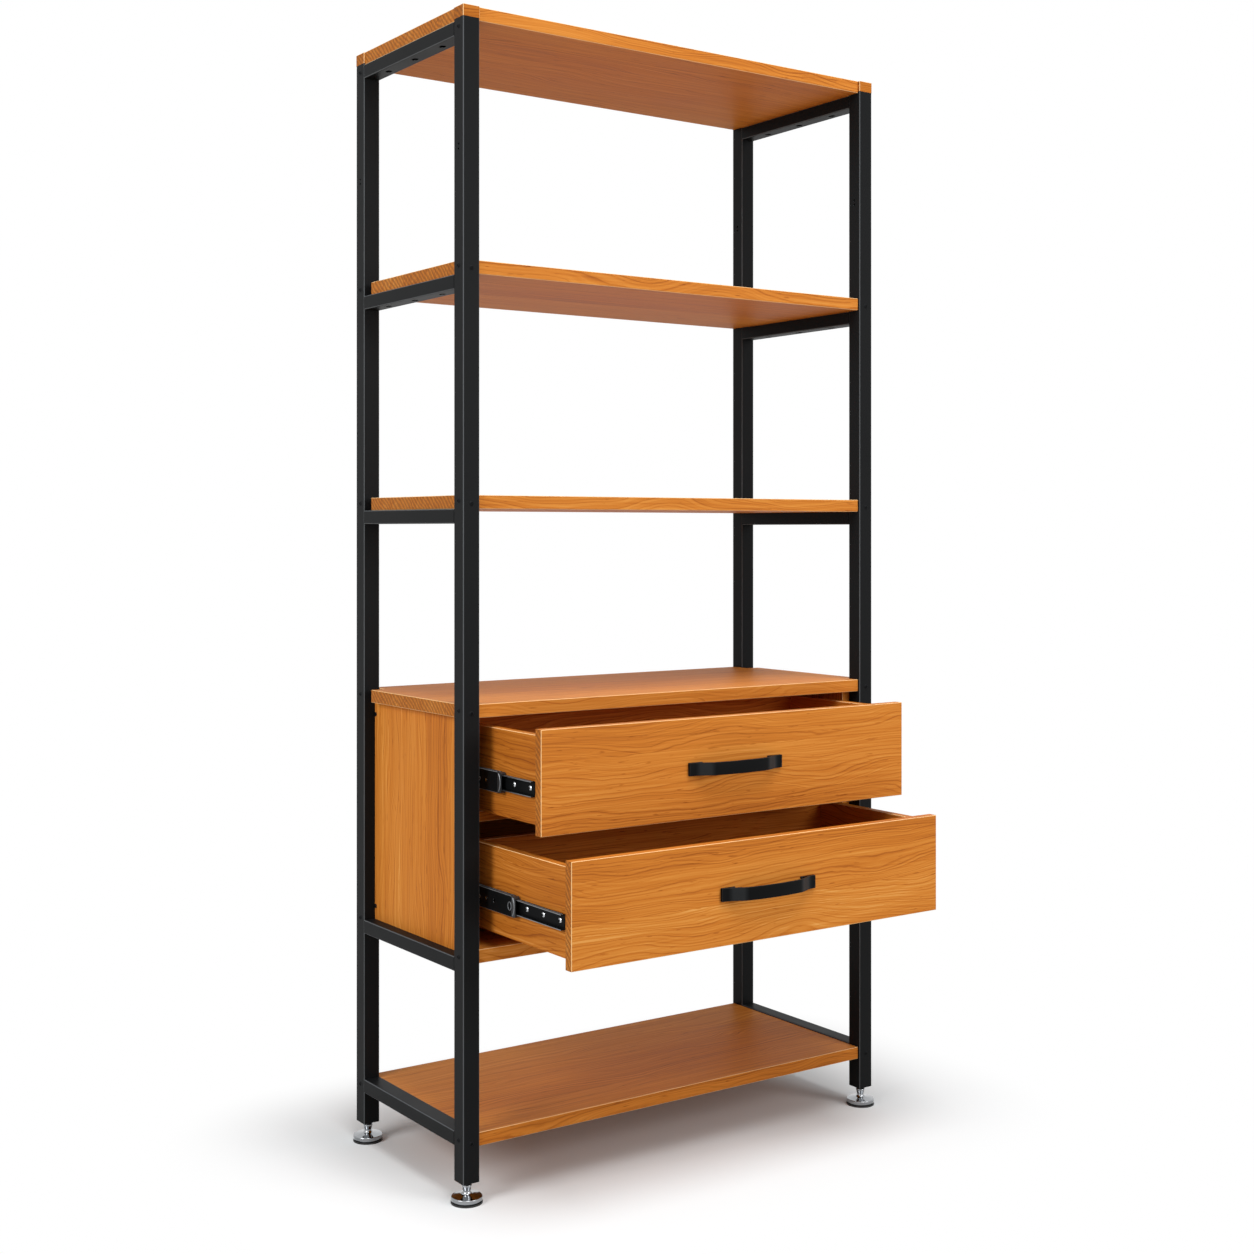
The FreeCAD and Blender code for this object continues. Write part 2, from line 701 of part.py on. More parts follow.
def cabinet_side(side):
    """Side rebated over the crossbar, with a housing for the divider that is open at the back."""
    body = new_body(f"cabinet_side_{side}")
    sign, outwards = SIDES[side], side == "right"
    section = new_sketch(body, "XZ_Plane")
    outline(section, [
        (f"{sign} * Plan.panel_in", "Plan.floor_top"),
        (f"{sign} * Plan.bar_inside", "Plan.floor_top"),
        (f"{sign} * Plan.bar_inside", "Plan.bar_top"),
        (f"{sign} * Plan.panel_out", "Plan.bar_top"),
        (f"{sign} * Plan.panel_out", "Size.cabinet_top"),
        (f"{sign} * Plan.panel_in", "Size.cabinet_top"),
    ])
    pad(body, section, "Plan.panel_depth", backwards=True)
    dress(body, "Chamfer", "Size.arris", lambda edge: is_upright(edge) and (
        is_flat(edge, "X", f"{sign} * Plan.panel_out") or is_flat(edge, "Y", "0")))
    housing = new_sketch(body, "YZ_Plane", f"{sign} * Plan.panel_in")
    rectangle(housing, "Plan.divider_front - Plan.panel_front", "Plan.panel_depth",
              "Plan.divider_level", "Plan.divider_level + Size.divider")
    pocket(body, housing, "Size.housing_depth", outwards)
    levels = [("Plan.slide_front - Plan.panel_front + Size.slide_screw_first", drawer["slide"])
              for drawer in DRAWERS.values()]
    pilots = drill(body, "YZ_Plane", f"{sign} * Plan.panel_in", levels, SCREW_HOLE,
                   "Size.slide_bite + 2 * Size.fit", outwards)
    repeat(body, [pilots], "Size.slide_screws", "Size.slide_screw_pitch")
    drill(body, "YZ_Plane", "0", [
        ("Plan.back_screw_y - Plan.panel_front", "Plan.back_screw_low"),
        ("Plan.back_screw_y - Plan.panel_front", "Plan.back_screw_high"),
    ], SCREW_HOLE)
    place(body, "0", "Plan.panel_front", "0")


def divider():
    """Board between the drawers, behind their fronts, with its ends in the sides' housings."""
    body = new_body("drawer_divider")
    reach = "Plan.panel_in + Size.housing_depth - Size.fit"
    sketch = new_sketch(body, "XY_Plane")
    rectangle(sketch, minus(reach), reach, "0", "Plan.divider_depth")
    pad(body, sketch, "Size.divider")
    dress(body, "Chamfer", "Size.arris",
          lambda edge: is_flat(edge, "Y", "0") and is_flat(edge, "Z", "0", "Size.divider"))
    place(body, "0", "Plan.divider_front", "Plan.divider_level")


def cabinet_back():
    body = new_body("cabinet_back")
    sketch = new_sketch(body, "XZ_Plane")
    rectangle(sketch, "-Plan.panel_in", "Plan.panel_in", "0", "Plan.cabinet_room")
    pad(body, sketch, "Size.back_panel", backwards=True)
    pilots = drill(body, "YZ_Plane", "Plan.panel_in", [
        ("Size.back_panel / 2", "Plan.back_screw_low - Plan.floor_top"),
        ("Size.back_panel / 2", "Plan.back_screw_high - Plan.floor_top"),
    ], SCREW_HOLE, "Size.screw_bite + Size.fit")
    mirror(body, pilots, "YZ_Plane")
    place(body, "0", "Plan.back_front", "Plan.floor_top")


for side in SIDES:
    cabinet_side(side)
divider()
cabinet_back()

# ------------------------------------------------------------------ ball-bearing slides
# In a slide's own section X grows from the cabinet's side to the drawer's, and Z from the middle
# of the slide upwards. Three rolled channels nest in each other, and the balls run between them.


def channel(name, half, length):
    """Rolled channel from the upper half of its section."""
    body = new_body(name, is_part=False)
    section = new_sketch(body, "XZ_Plane")
    outline(section, above_and_below(half))
    pad(body, section, length, backwards=True)
    return body


def screw_row(body, start):
    """Screw holes along the web, which ends at the given place."""
    hole = drill(body, "YZ_Plane", start, [("Size.slide_screw_first", "0")], SCREW_HOLE,
                 "Size.plate")
    repeat(body, [hole], "Size.slide_screws", "Size.slide_screw_pitch")


def cabinet_member():
    """Outer channel: each flange is rolled round the outer row of balls."""
    lip = "Plan.ball_x + Plan.outer_groove"
    body = channel("cabinet_member", [
        ("0", "Plan.outer_half - Size.plate", "Size.plate", "right"),
        ("Size.plate", "Plan.outer_half"),
        ("Plan.ball_x", "Plan.outer_half", "Plan.outer_groove + Size.plate", "right"),
        (f"{lip} + Size.plate", "Plan.outer_ball_z"),
        (f"{lip} + Size.plate", "Plan.lip_end"),
        (lip, "Plan.lip_end"),
        (lip, "Plan.outer_ball_z", "Plan.outer_groove", "left"),
        ("Plan.ball_x", "Plan.outer_face"),
        ("Size.plate", "Plan.outer_face"),
    ], "Plan.slide_length")
    screw_row(body, "Size.plate")
    dress(body, "Chamfer", "Size.sink",
          lambda edge: is_flat(edge, "X", "Size.plate") and is_hole_rim(edge, SCREW_HOLE))
    return body


def middle_member():
    """Channel with a raceway on both faces of its flanges, and a hole to reach screws through."""
    end = "Plan.middle_end"
    body = channel("middle_member", [
        ("Plan.middle_web", "Plan.middle_half - Size.plate", "Size.plate", "right"),
        ("Plan.middle_web + Size.plate", "Plan.middle_half"),
        ("Plan.ball_x - Plan.outer_nick", "Plan.middle_half", "Plan.outer_groove", "left"),
        ("Plan.ball_x + Plan.outer_nick", "Plan.middle_half"),
        (end, "Plan.middle_half"),
        (end, "Plan.middle_face"),
        ("Plan.ball_x + Plan.middle_nick", "Plan.middle_face", "Plan.inner_groove", "left"),
        ("Plan.ball_x - Plan.middle_nick", "Plan.middle_face"),
        ("Plan.middle_web + Size.plate", "Plan.middle_face"),
    ], "Plan.middle_length")
    drill(body, "YZ_Plane", "Plan.middle_web + Size.plate", [("Size.access_place", "0")],
          "Size.access_hole", "Size.plate")
    return body


def drawer_member():
    """Inner channel, open towards the middle one, with the web on the drawer's side."""
    web = "Size.slide_thick - Size.plate"
    body = channel("drawer_member", [
        (web, "Plan.inner_face"),
        ("Plan.inner_start", "Plan.inner_face"),
        ("Plan.inner_start", "Plan.inner_half"),
        ("Plan.ball_x - Plan.inner_nick", "Plan.inner_half", "Plan.inner_groove", "left"),
        ("Plan.ball_x + Plan.inner_nick", "Plan.inner_half"),
        (web, "Plan.inner_half", "Size.plate", "right"),
        ("Size.slide_thick", "Plan.inner_half - Size.plate"),
    ], "Plan.slide_length")
    screw_row(body, "Size.slide_thick")
    return body


def ball_cage(name, radius):
    """Strip that spaces a row of balls."""
    body = new_body(name, is_part=False)
    strip, half = new_sketch(body, "XZ_Plane"), f"({radius} - Size.cage_inset)"
    rectangle(strip, minus(half), half, "-Size.cage_thick / 2", "Size.cage_thick / 2")
    pad(body, strip, "Plan.cage_length", backwards=True)
    ball = body.newObject("PartDesign::AdditiveSphere", name + "_ball")
    ball.setExpression("Radius", radius)
    ball.setExpression("Placement.Base.y", "Size.cage_end")
    repeat(body, [ball], "Size.balls", "Size.ball_pitch")
    return body


def bumper():
    """Plastic end piece in front of the middle member, which the drawer member slides through."""
    body = new_body("bumper", is_part=False)
    section = new_sketch(body, "XZ_Plane")
    outline(section, above_and_below([
        ("Plan.middle_web", "Plan.middle_half - Size.fit"),
        ("Plan.middle_end", "Plan.middle_half - Size.fit"),
        ("Plan.middle_end", "Plan.inner_half + 2 * Size.fit"),
        ("Plan.middle_web + Size.bumper_wall", "Plan.inner_half + 2 * Size.fit"),
    ]))
    pad(body, section, "Size.recess - Size.fit", backwards=True)
    dress(body, "Fillet", "Size.bumper_round", lambda edge: is_flat(edge, "Y", "0") and (
        is_flat(edge, "Z", "Plan.middle_half - Size.fit", "Size.fit - Plan.middle_half")))
    return body


cabinet_channel = cabinet_member()
middle_channel = middle_member()
drawer_channel = drawer_member()
outer_cage = ball_cage("outer_cage", "Size.outer_ball")
inner_cage = ball_cage("inner_cage", "Size.inner_ball")
front_bumper = bumper()


def slide_pair(source, start, level):
    """The piece in the left and the right slide of a drawer."""
    return [copy_of(source, f"{SIDES[side]} * Plan.panel_in", start, level, ROLLED_OVER[side])
            for side in SIDES]


def cage_pair(source, start, level, height):
    """A strip above and a strip below in each of a drawer's slides."""
    return [copy_of(source, f"{SIDES[side]} * (Plan.panel_in - Plan.ball_x)", start,
                    f"{level} + {row} * {height}")
            for side in SIDES for row in ("1", "-1")]


def slide_screws(source, start, level, x, aim):
    """The screws of a drawer's two slides, along one member."""
    return [copy_of(source, f"{SIDES[side]} * ({x})",
                    f"{start} + Size.slide_screw_first + {step} * Size.slide_screw_pitch",
                    level, aim[side])
            for side in SIDES for step in range(int(number("Size.slide_screws")))]


group("slide_cabinet_members", [
    member
    for drawer in DRAWERS.values()
    for member in slide_pair(cabinet_channel, "Plan.slide_front", drawer["slide"])
])
# A strip of balls moves half way between the two members that it rolls on.
for name, drawer in DRAWERS.items():
    level, out = drawer["slide"], drawer["out"]
    middle_out = f"{out} / 2"
    outer_cage_out = f"{middle_out} / 2"
    inner_cage_out = f"({middle_out} + {out}) / 2"
    group(f"{name}_slide_middle_members", slide_pair(
        middle_channel, f"Plan.slide_front + Size.recess - {middle_out}", level))
    group(f"{name}_slide_bumpers", slide_pair(
        front_bumper, f"Plan.slide_front + Size.fit - {middle_out}", level))
    group(f"{name}_outer_ball_cages", cage_pair(
        outer_cage, f"Plan.cage_start - {outer_cage_out}", level, "Plan.outer_ball_z"))
    group(f"{name}_inner_ball_cages", cage_pair(
        inner_cage, f"Plan.cage_start - {inner_cage_out}", level, "Plan.inner_ball_z"))
    group(f"{name}_drawer_slides", slide_pair(drawer_channel, f"Plan.slide_front - {out}", level))

# ------------------------------------------------------------------ drawers


def drawer_front(name, drawer):
    """Front with broken arrises and a groove behind for the drawer's bottom."""
    body = new_body(f"{name}_drawer_front")
    sketch = new_sketch(body, "XZ_Plane")
    rectangle(sketch, "-Plan.front_x", "Plan.front_x", "0", "Plan.front_height")
    pad(body, sketch, "Size.front_thick", backwards=True)
    dress(body, "Chamfer", "Size.arris", lambda edge: is_flat(edge, "Y", "0", "Size.front_thick"))
    groove = new_sketch(body, "XZ_Plane", "-Size.front_thick")
    reach = "Plan.box_inner_x + Size.groove_depth"
    rectangle(groove, minus(reach), reach, "Plan.groove_level",
              "Plan.groove_level + Size.box_bottom")
    pocket(body, groove, "Size.groove_depth", along=True)
    middle = "Plan.front_height / 2"
    drill(body, "XZ_Plane", "0", [("Plan.handle_screw_x", middle),
                                  ("-Plan.handle_screw_x", middle)], SCREW_HOLE)
    place(body, "0", f"Plan.panel_front - {drawer['out']}", drawer["level"])


def box_side(name, drawer, side):
    """Drawer side with the groove for the bottom along its inner face."""
    body = new_body(f"{name}_drawer_side_{side}")
    sign = SIDES[side]
    inner, outer = f"{sign} * Plan.box_inner_x", f"{sign} * Plan.box_x"
    deep = f"{sign} * (Plan.box_inner_x + Size.groove_depth)"
    section = new_sketch(body, "XZ_Plane")
    outline(section, [
        (inner, "Size.box_rise"),
        (outer, "Size.box_rise"),
        (outer, "Size.box_rise + Size.box_height"),
        (inner, "Size.box_rise + Size.box_height"),
        (inner, "Plan.groove_level + Size.box_bottom"),
        (deep, "Plan.groove_level + Size.box_bottom"),
        (deep, "Plan.groove_level"),
        (inner, "Plan.groove_level"),
    ])
    pad(body, section, "Plan.slide_length", backwards=True)
    dress(body, "Chamfer", "Size.arris",
          lambda edge: is_flat(edge, "Z", "Size.box_rise + Size.box_height")
          and not is_flat(edge, "Y", "0"))
    pilots = drill(body, "YZ_Plane", outer,
                   [("Size.slide_screw_first + Size.fit", "Size.box_rise + Size.slide_rise")],
                   SCREW_HOLE, "Size.slide_bite + 2 * Size.fit", side == "left")
    repeat(body, [pilots], "Size.slide_screws", "Size.slide_screw_pitch")
    place(body, "0", f"Plan.box_front - {drawer['out']}", drawer["level"])


def box_bottom(name, drawer):
    """Thin panel held in the grooves of the sides and the front."""
    body = new_body(f"{name}_drawer_bottom")
    sketch = new_sketch(body, "XY_Plane")
    reach = "Plan.box_inner_x + Size.groove_depth - Size.fit"
    rectangle(sketch, minus(reach), reach, "Size.fit - Size.groove_depth", "Plan.slide_length")
    pad(body, sketch, "Size.box_bottom")
    place(body, "0", f"Plan.box_front - {drawer['out']}", f"{drawer['level']} + Plan.groove_level")


def box_back(name, drawer):
    """Drawer back between the sides, standing on the bottom."""
    body = new_body(f"{name}_drawer_back")
    sketch = new_sketch(body, "XZ_Plane")
    rectangle(sketch, "-Plan.box_inner_x", "Plan.box_inner_x",
              "Plan.groove_level + Size.box_bottom", "Size.box_rise + Size.box_height")
    pad(body, sketch, "Size.box_side", backwards=True)
    dress(body, "Chamfer", "Size.arris", lambda edge: is_flat(
        edge, "Z", "Size.box_rise + Size.box_height") and not is_flat(
        edge, "X", "Plan.box_inner_x", "-Plan.box_inner_x"))
    place(body, "0", f"Plan.box_front + Plan.slide_length - Size.box_side - {drawer['out']}",
          drawer["level"])


def handle(name, drawer):
    """Flat strap bent into a shallow bow, on a plate at each end that a screw is tapped into."""
    body = new_body(f"{name}_drawer_handle")
    end, top = "Size.handle_length / 2", "Size.handle_foot + Size.strap"
    bend, shoulder = f"{end} - Size.handle_pad", f"{end} - Size.handle_shoulder"
    plate_end = f"{end} - Size.handle_foot_length"
    plan_view = new_sketch(body, "XY_Plane")
    corners = both_sides([
        (f"{shoulder} - Plan.strap_shift", "Size.strap - Size.handle_reach"),
        (f"{bend} - Plan.strap_shift", "-Size.handle_foot"),
        (plate_end, "-Size.handle_foot"),
        (plate_end, "0"),
        (end, "0"),
        (end, minus(top)),
        (bend, minus(top)),
        (shoulder, "-Size.handle_reach", "Plan.bow_radius", "right"),
    ])
    corners[-1] += ("Plan.bow_radius - Size.strap", "left")
    outline(plan_view, corners)
    pad(body, plan_view, "Size.handle_height")
    rounded = (bend, shoulder, f"{shoulder} - Plan.strap_shift")
    dress(body, "Fillet", "Size.handle_bend", lambda edge: is_upright(edge) and is_flat(
        edge, "X", *rounded, *map(minus, rounded)))
    dress(body, "Fillet", "Size.handle_edge", lambda edge: is_flat(
        edge, "Z", "0", "Size.handle_height") or is_upright(edge) and is_flat(
        edge, "X", end, minus(end)))
    drill(body, "XZ_Plane", "0", [
        ("Plan.handle_screw_x", "Size.handle_height / 2"),
        ("-Plan.handle_screw_x", "Size.handle_height / 2"),
    ], SCREW_HOLE, "Plan.handle_bite + Size.fit", along=True)
    place(body, "0", f"Plan.panel_front - {drawer['out']}",
          f"{drawer['level']} + (Plan.front_height - Size.handle_height) / 2")


for name, drawer in DRAWERS.items():
    drawer_front(name, drawer)
    for side in SIDES:
        box_side(name, drawer, side)
    box_bottom(name, drawer)
    box_back(name, drawer)
    handle(name, drawer)
    screws = slide_screws(drawer_screw, f"Plan.slide_front - {drawer['out']}", drawer["slide"],
                          "Plan.panel_in - Size.slide_thick + Size.plate", AIMED_IN)
    screws += [copy_of(handle_screw, f"{SIDES[side]} * Plan.handle_screw_x",
                       f"Plan.box_front - {drawer['out']}",
                       f"{drawer['level']} + Plan.front_height / 2", aimed(0, -1, 0))
               for side in SIDES]
    group(f"{name}_drawer_screws", screws)

# ------------------------------------------------------------------ screws of the frame

held = [
    copy_of(end_screw, f"{SIDES[side]} * Plan.face_x", f"{ENDS[end]} * Plan.post_y",
            f"{level} + Size.screw_rise", AIMED_IN[side])
    for end, side in CORNERS
    for level in HELD_BY_POSTS
]
capped = [
    copy_of(wall_screw, f"{SIDES[side]} * Plan.face_x", f"{ENDS[end]} * Plan.post_y",
            "Plan.top_bar + Size.screw_rise", AIMED_IN[side])
    for end, side in CORNERS
]
from_below = [
    copy_of(wall_screw, f"{SIDES[side]} * Plan.post_x",
            f"Plan.bar_screw_first - Plan.bar_length / 2 + {step} * Size.bar_screw_pitch",
            f"{BARS[level]} + Size.bar_height - Size.tube_wall")
    for level in CARRYING
    for side in SIDES
    for step in range(int(number("Size.bar_screws")))
]
at_back = [
    copy_of(back_screw, f"{SIDES[side]} * Plan.panel_out", "Plan.back_screw_y", level,
            AIMED_IN[side])
    for side in SIDES
    for level in ("Plan.back_screw_low", "Plan.back_screw_high")
]
in_slides = [
    screw
    for drawer in DRAWERS.values()
    for screw in slide_screws(slide_screw, "Plan.slide_front", drawer["slide"],
                              "Plan.panel_in - Size.plate", AIMED_OUT)
]
group("frame_screws", held + capped + from_below + at_back + in_slides)

# ------------------------------------------------------------------ feet


def foot(end, side):
    """Levelling foot: a turned base and cone on a threaded stem, with a rubber pad under it."""
    x, y = f"{SIDES[side]} * Plan.post_x", f"{ENDS[end]} * Plan.post_y"
    body = new_body(f"foot_{end}_{side}")
    base, neck, waist = "Size.foot_base / 2", "Size.foot_neck / 2", "Plan.rim_top + Size.foot_waist"
    revolve(body, [
        ("0", "Size.foot_pad"),
        (base, "Size.foot_pad"),
        (base, "Plan.rim_top - Size.foot_edge", "Size.foot_edge", "left"),
        (f"{base} - Size.foot_edge", "Plan.rim_top"),
        (f"{neck} + Size.foot_dish", "Plan.rim_top + Size.foot_dish",
         "Size.foot_waist", "right"),
        (neck, waist),
        ("Size.foot_cone / 2", "Plan.stem_start - Size.foot_collar"),
        ("Size.foot_cone / 2", "Plan.stem_start"),
        ("Size.stem_width / 2", "Plan.stem_start"),
        ("Size.stem_width / 2", "Plan.stem_start + Size.stem_length"),
        ("0", "Plan.stem_start + Size.stem_length"),
    ])
    place(body, x, y, "0")
    rubber = new_body(f"foot_pad_{end}_{side}")
    sketch = new_sketch(rubber, "XY_Plane")
    circles(sketch, [("0", "0")], "Size.foot_base - 2 * Size.pad_inset")
    pad(rubber, sketch, "Size.foot_pad")
    place(rubber, x, y, "0")


for end, side in CORNERS:
    foot(end, side)

# ------------------------------------------------------------------ check and write

doc.recompute()
for item in doc.Objects:
    if any(state in ("Invalid", "Error") for state in item.State):
        raise RuntimeError(f"{item.Label} did not compute")
os.makedirs("parts", exist_ok=True)
for item in parts:
    if item.Shape.isNull() or not item.Shape.isValid():
        raise RuntimeError(f"{item.Label} is not a sound solid")
for item in parts:
    item.Shape.exportStep(f"parts/{item.Label}.step")
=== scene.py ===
import math

import bmesh
import bpy
from mathutils import Matrix, Vector


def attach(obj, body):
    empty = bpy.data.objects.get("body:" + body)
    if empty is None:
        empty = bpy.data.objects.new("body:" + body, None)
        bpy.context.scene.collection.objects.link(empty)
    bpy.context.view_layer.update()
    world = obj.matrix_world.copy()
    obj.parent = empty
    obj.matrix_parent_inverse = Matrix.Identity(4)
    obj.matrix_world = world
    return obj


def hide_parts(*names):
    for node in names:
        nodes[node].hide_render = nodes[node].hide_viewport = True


# Bookcase of black steel tube and oiled alder boards, with two drawers drawn out. This script
# gives its parts their finishes, adds the small pressed and turned details of the slides, screws
# and feet, and sets up a pale floor, soft light and the camera.

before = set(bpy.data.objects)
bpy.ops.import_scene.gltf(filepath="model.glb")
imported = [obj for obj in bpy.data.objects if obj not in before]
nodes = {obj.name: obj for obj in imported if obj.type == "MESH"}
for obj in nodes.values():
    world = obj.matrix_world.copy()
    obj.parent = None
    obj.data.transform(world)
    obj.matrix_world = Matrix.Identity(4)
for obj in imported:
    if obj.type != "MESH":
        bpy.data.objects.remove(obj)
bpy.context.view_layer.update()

MM = 0.001
X, Y, Z = 0, 1, 2
SIDES = ("left", "right")
ENDS = ("front", "back")
DRAWERS = ("upper", "lower")
BARS = ("top", "upper", "middle", "cabinet", "bottom")

# ------------------------------------------------------------------ camera

CAMERA_PLACE = (-1.91255, -2.75953, 1.12996)
CAMERA_YAW = 34.90
CAMERA_LENS = 50.46
SENSOR = 36.0
PICTURE_WIDTH = 1254
HORIZON_ROW = 529.58
FARTHEST_SEEN = 60


def add_camera():
    """Level camera that looks past the left front post, shifted down to the bookcase."""
    data = bpy.data.cameras.new("camera")
    data.lens = CAMERA_LENS
    data.sensor_width = SENSOR
    data.shift_y = (HORIZON_ROW - PICTURE_WIDTH / 2) / PICTURE_WIDTH
    data.clip_end = FARTHEST_SEEN
    camera = bpy.data.objects.new("camera", data)
    camera.location = CAMERA_PLACE
    camera.rotation_euler = (math.radians(90), 0, math.radians(-CAMERA_YAW))
    bpy.context.scene.collection.objects.link(camera)
    bpy.context.scene.camera = camera


# ------------------------------------------------------------------ ways of making a material

MATH = "ShaderNodeMath"
VECTOR = "ShaderNodeVectorMath"
JOIN = "ShaderNodeCombineXYZ"
SPLIT = "ShaderNodeSeparateXYZ"
NOISE = "ShaderNodeTexNoise"
RANGE = "ShaderNodeMapRange"
MIX = "ShaderNodeMix"
RAMP = "ShaderNodeValToRGB"
BUMP = "ShaderNodeBump"
COORDINATES = "ShaderNodeTexCoord"
PRINCIPLED = "ShaderNodeBsdfPrincipled"
OUTPUT = "ShaderNodeOutputMaterial"
LIGHT_PATH = "ShaderNodeLightPath"
GEOMETRY = "ShaderNodeNewGeometry"
# Sockets of a colour mix, which shares its names with the other kinds of mix.
SHARE, FIRST, SECOND = 0, 6, 7
WHITE = (1.0, 1.0, 1.0, 1.0)


def linear(hex_colour):
    """sRGB hex to the linear colour that a shader takes."""
    channels = [int(hex_colour[i:i + 2], 16) / 255 for i in (0, 2, 4)]
    return tuple(c / 12.92 if c <= 0.04045 else ((c + 0.055) / 1.055) ** 2.4
                 for c in channels) + (1.0,)


def add(tree, kind, inputs, stops=(), **settings):
    """Adds a node with its settings, sets or links its inputs, and returns its first output."""
    made = tree.nodes.new(kind)
    for name, value in settings.items():
        setattr(made, name, value)
    for name, value in inputs.items():
        if isinstance(value, bpy.types.NodeSocket):
            tree.links.new(value, made.inputs[name])
        else:
            made.inputs[name].default_value = value
    for index, (position, colour) in enumerate(stops):
        if index >= len(made.color_ramp.elements):
            made.color_ramp.elements.new(position)
        made.color_ramp.elements[index].position = position
        made.color_ramp.elements[index].color = linear(colour)
    return next((socket for socket in made.outputs if socket.enabled), None)


def new_material(name):
    """Empty material and its tree."""
    material = bpy.data.materials.new(name)
    material.use_nodes = True
    material.node_tree.nodes.clear()
    return material, material.node_tree


def squareness(tree):
    """How squarely a face looks along each axis, and along the axis that it faces most."""
    normal = add(tree, GEOMETRY, {}).node.outputs["Normal"]
    facing = add(tree, VECTOR, {0: normal}, operation="ABSOLUTE")
    facing = add(tree, SPLIT, {"Vector": facing}).node.outputs
    most = add(tree, MATH, {0: facing[0], 1: facing[1]}, operation="MAXIMUM")
    most = add(tree, MATH, {0: most, 1: facing[2]}, operation="MAXIMUM")
    return facing, most


def looked_at(tree):
    """One on a ray that shows the surface itself, straight, mirrored or through glass."""
    rays = add(tree, LIGHT_PATH, {}).node.outputs
    seen = add(tree, MATH, {0: rays["Is Camera Ray"], 1: rays["Is Glossy Ray"]},
               operation="MAXIMUM")
    return add(tree, MATH, {0: seen, 1: rays["Is Transmission Ray"]}, operation="MAXIMUM")


# ------------------------------------------------------------------ oiled alder
# Staves of flat-sawn alder glued edge to edge, sanded fine and oiled. The year rings lie as
# slanting sheets that swing and dome along the stave, so that they run as long wavy lines with
# flames between them on a face, and as slanting strokes on an end. The oil gives a warm colour
# and only a dull sheen.

STAVE = 88 * MM
# A glue line is about 0.1 mm wide. It is drawn this wide on either side, and faint, so that it
# shows.
GLUE_LINE = 1.2 * MM
# Each board's staves start at another place, and each stave is cut from another log.
STAVE_SHIFT, STAVE_DRAW = 0.37, 13.0
LOG_LENGTH = 5.0
RING = 4.4 * MM
# How steeply the sheets of the rings lean, and how far each figure pushes them aside.
SLANT = 0.8
SWING = 26 * MM
DOME = 74 * MM
RIPPLE = 6.0 * MM
# How many waves of each figure fit in a metre, along the grain and across it.
SWINGS = (2.6, 1.2, 1.2)
DOMES = (3.6, 12.0, 12.0)
RIPPLES = (17.0, 32.0, 32.0)
STREAKS = (1.4, 60.0, 60.0)
CLOUDS = (1.6, 9.0, 9.0)
FLECKS = (26.0, 240.0, 240.0)
# Real fibres are under 0.1 mm across. They are drawn 3 mm wide, so that they show.
FIBRES = (5.0, 320.0, 320.0)
FIGURES = {
    # name: waves a metre, detail
    "swing": (SWINGS, 1.0), "dome": (DOMES, 1.0), "ripple": (RIPPLES, 2.0),
    "streak": (STREAKS, 3.0), "cloud": (CLOUDS, 2.0), "fleck": (FLECKS, 2.0),
    "fibre": (FIBRES, 2.0),
}
# Paler and darker bands, so many to a metre across the rings.
BANDS = 210.0
FIGURE_FINENESS, BAND_DETAIL, BAND_FINENESS = 0.55, 3.0, 0.6
# The dark late wood fills the last part of a year's growth. It fades out in the pale bands.
LATE_FROM, LATE_FULL = 0.50, 0.95
BAND_PALE, BAND_DARK = 0.60, 0.40
FLECK_FROM, FLECK_FULL = 0.64, 0.74
# The rings cross an end as slanting strokes, pale and dark by turns, each STROKE wide. They are
# drawn over twice as far apart there as they really are, so that they show.
STROKE = 6.0 * MM
STROKE_SLANT = -1.1
# How many widths of a stroke each figure pushes them aside.
STROKE_WANDER = (("dome", 4), ("ripple", 2.5))
# The change from pale to dark leaves this share of a stroke plain at either end.
STROKE_EDGE = 0.15
STROKE_PALE, STROKE_DARK = 0.25, 0.65
ALDER = ((0.0, "86420F"), (0.28, "B06424"), (0.52, "C9792C"), (0.76, "D88D3D"), (1.0, "EAB065"))
# The drawer boxes, the board between them, the cabinet's back and the blocks on the posts get a
# darker alder: painted shade for parts that stand back in shadow.
ALDER_PAINTED_SHADE = ((0.0, "6A350B"), (0.28, "955019"), (0.52, "B0651F"), (0.76, "C4782D"),
             (1.0, "DA9850"))
# Rounded edges get a pale painted highlight where they would catch the light. End grain takes in
# more oil and looks dark, and its dark colour also holds painted shade.
ALDER_ARRIS_HIGHLIGHT = "FAD29A"
ALDER_END_OIL_AND_SHADE = "6C4020"
MIDDLE_TONE = 0.52
TONES = {
    # name: its middle value, how far it moves the tone
    "bands": (0.5, 0.46), "streak": (0.5, 0.36), "fibre": (0.5, 0.60), "cloud": (0.5, 0.40),
    "stave": (0.5, 0.14), "late": (0.2, -0.25), "flecks": (0.05, -0.30),
    "glue_line": (0.0, -0.12),
}
# A face counts as end grain, or as a rounded edge, by how squarely it looks along an axis.
ARRIS_FROM, ARRIS_FULL, ARRIS_HIGHLIGHT_SHARE = 0.96, 0.80, 0.85
END_FROM, END_FULL = 0.8, 0.95
LATE_RELIEF, GRAIN_DEPTH, GRAIN_STRENGTH = -0.7, 0.05 * MM, 0.5
OIL_ROUGHNESS, FIBRE_ROUGHNESS, OIL_SHINE = 0.42, 0.16, 0.06


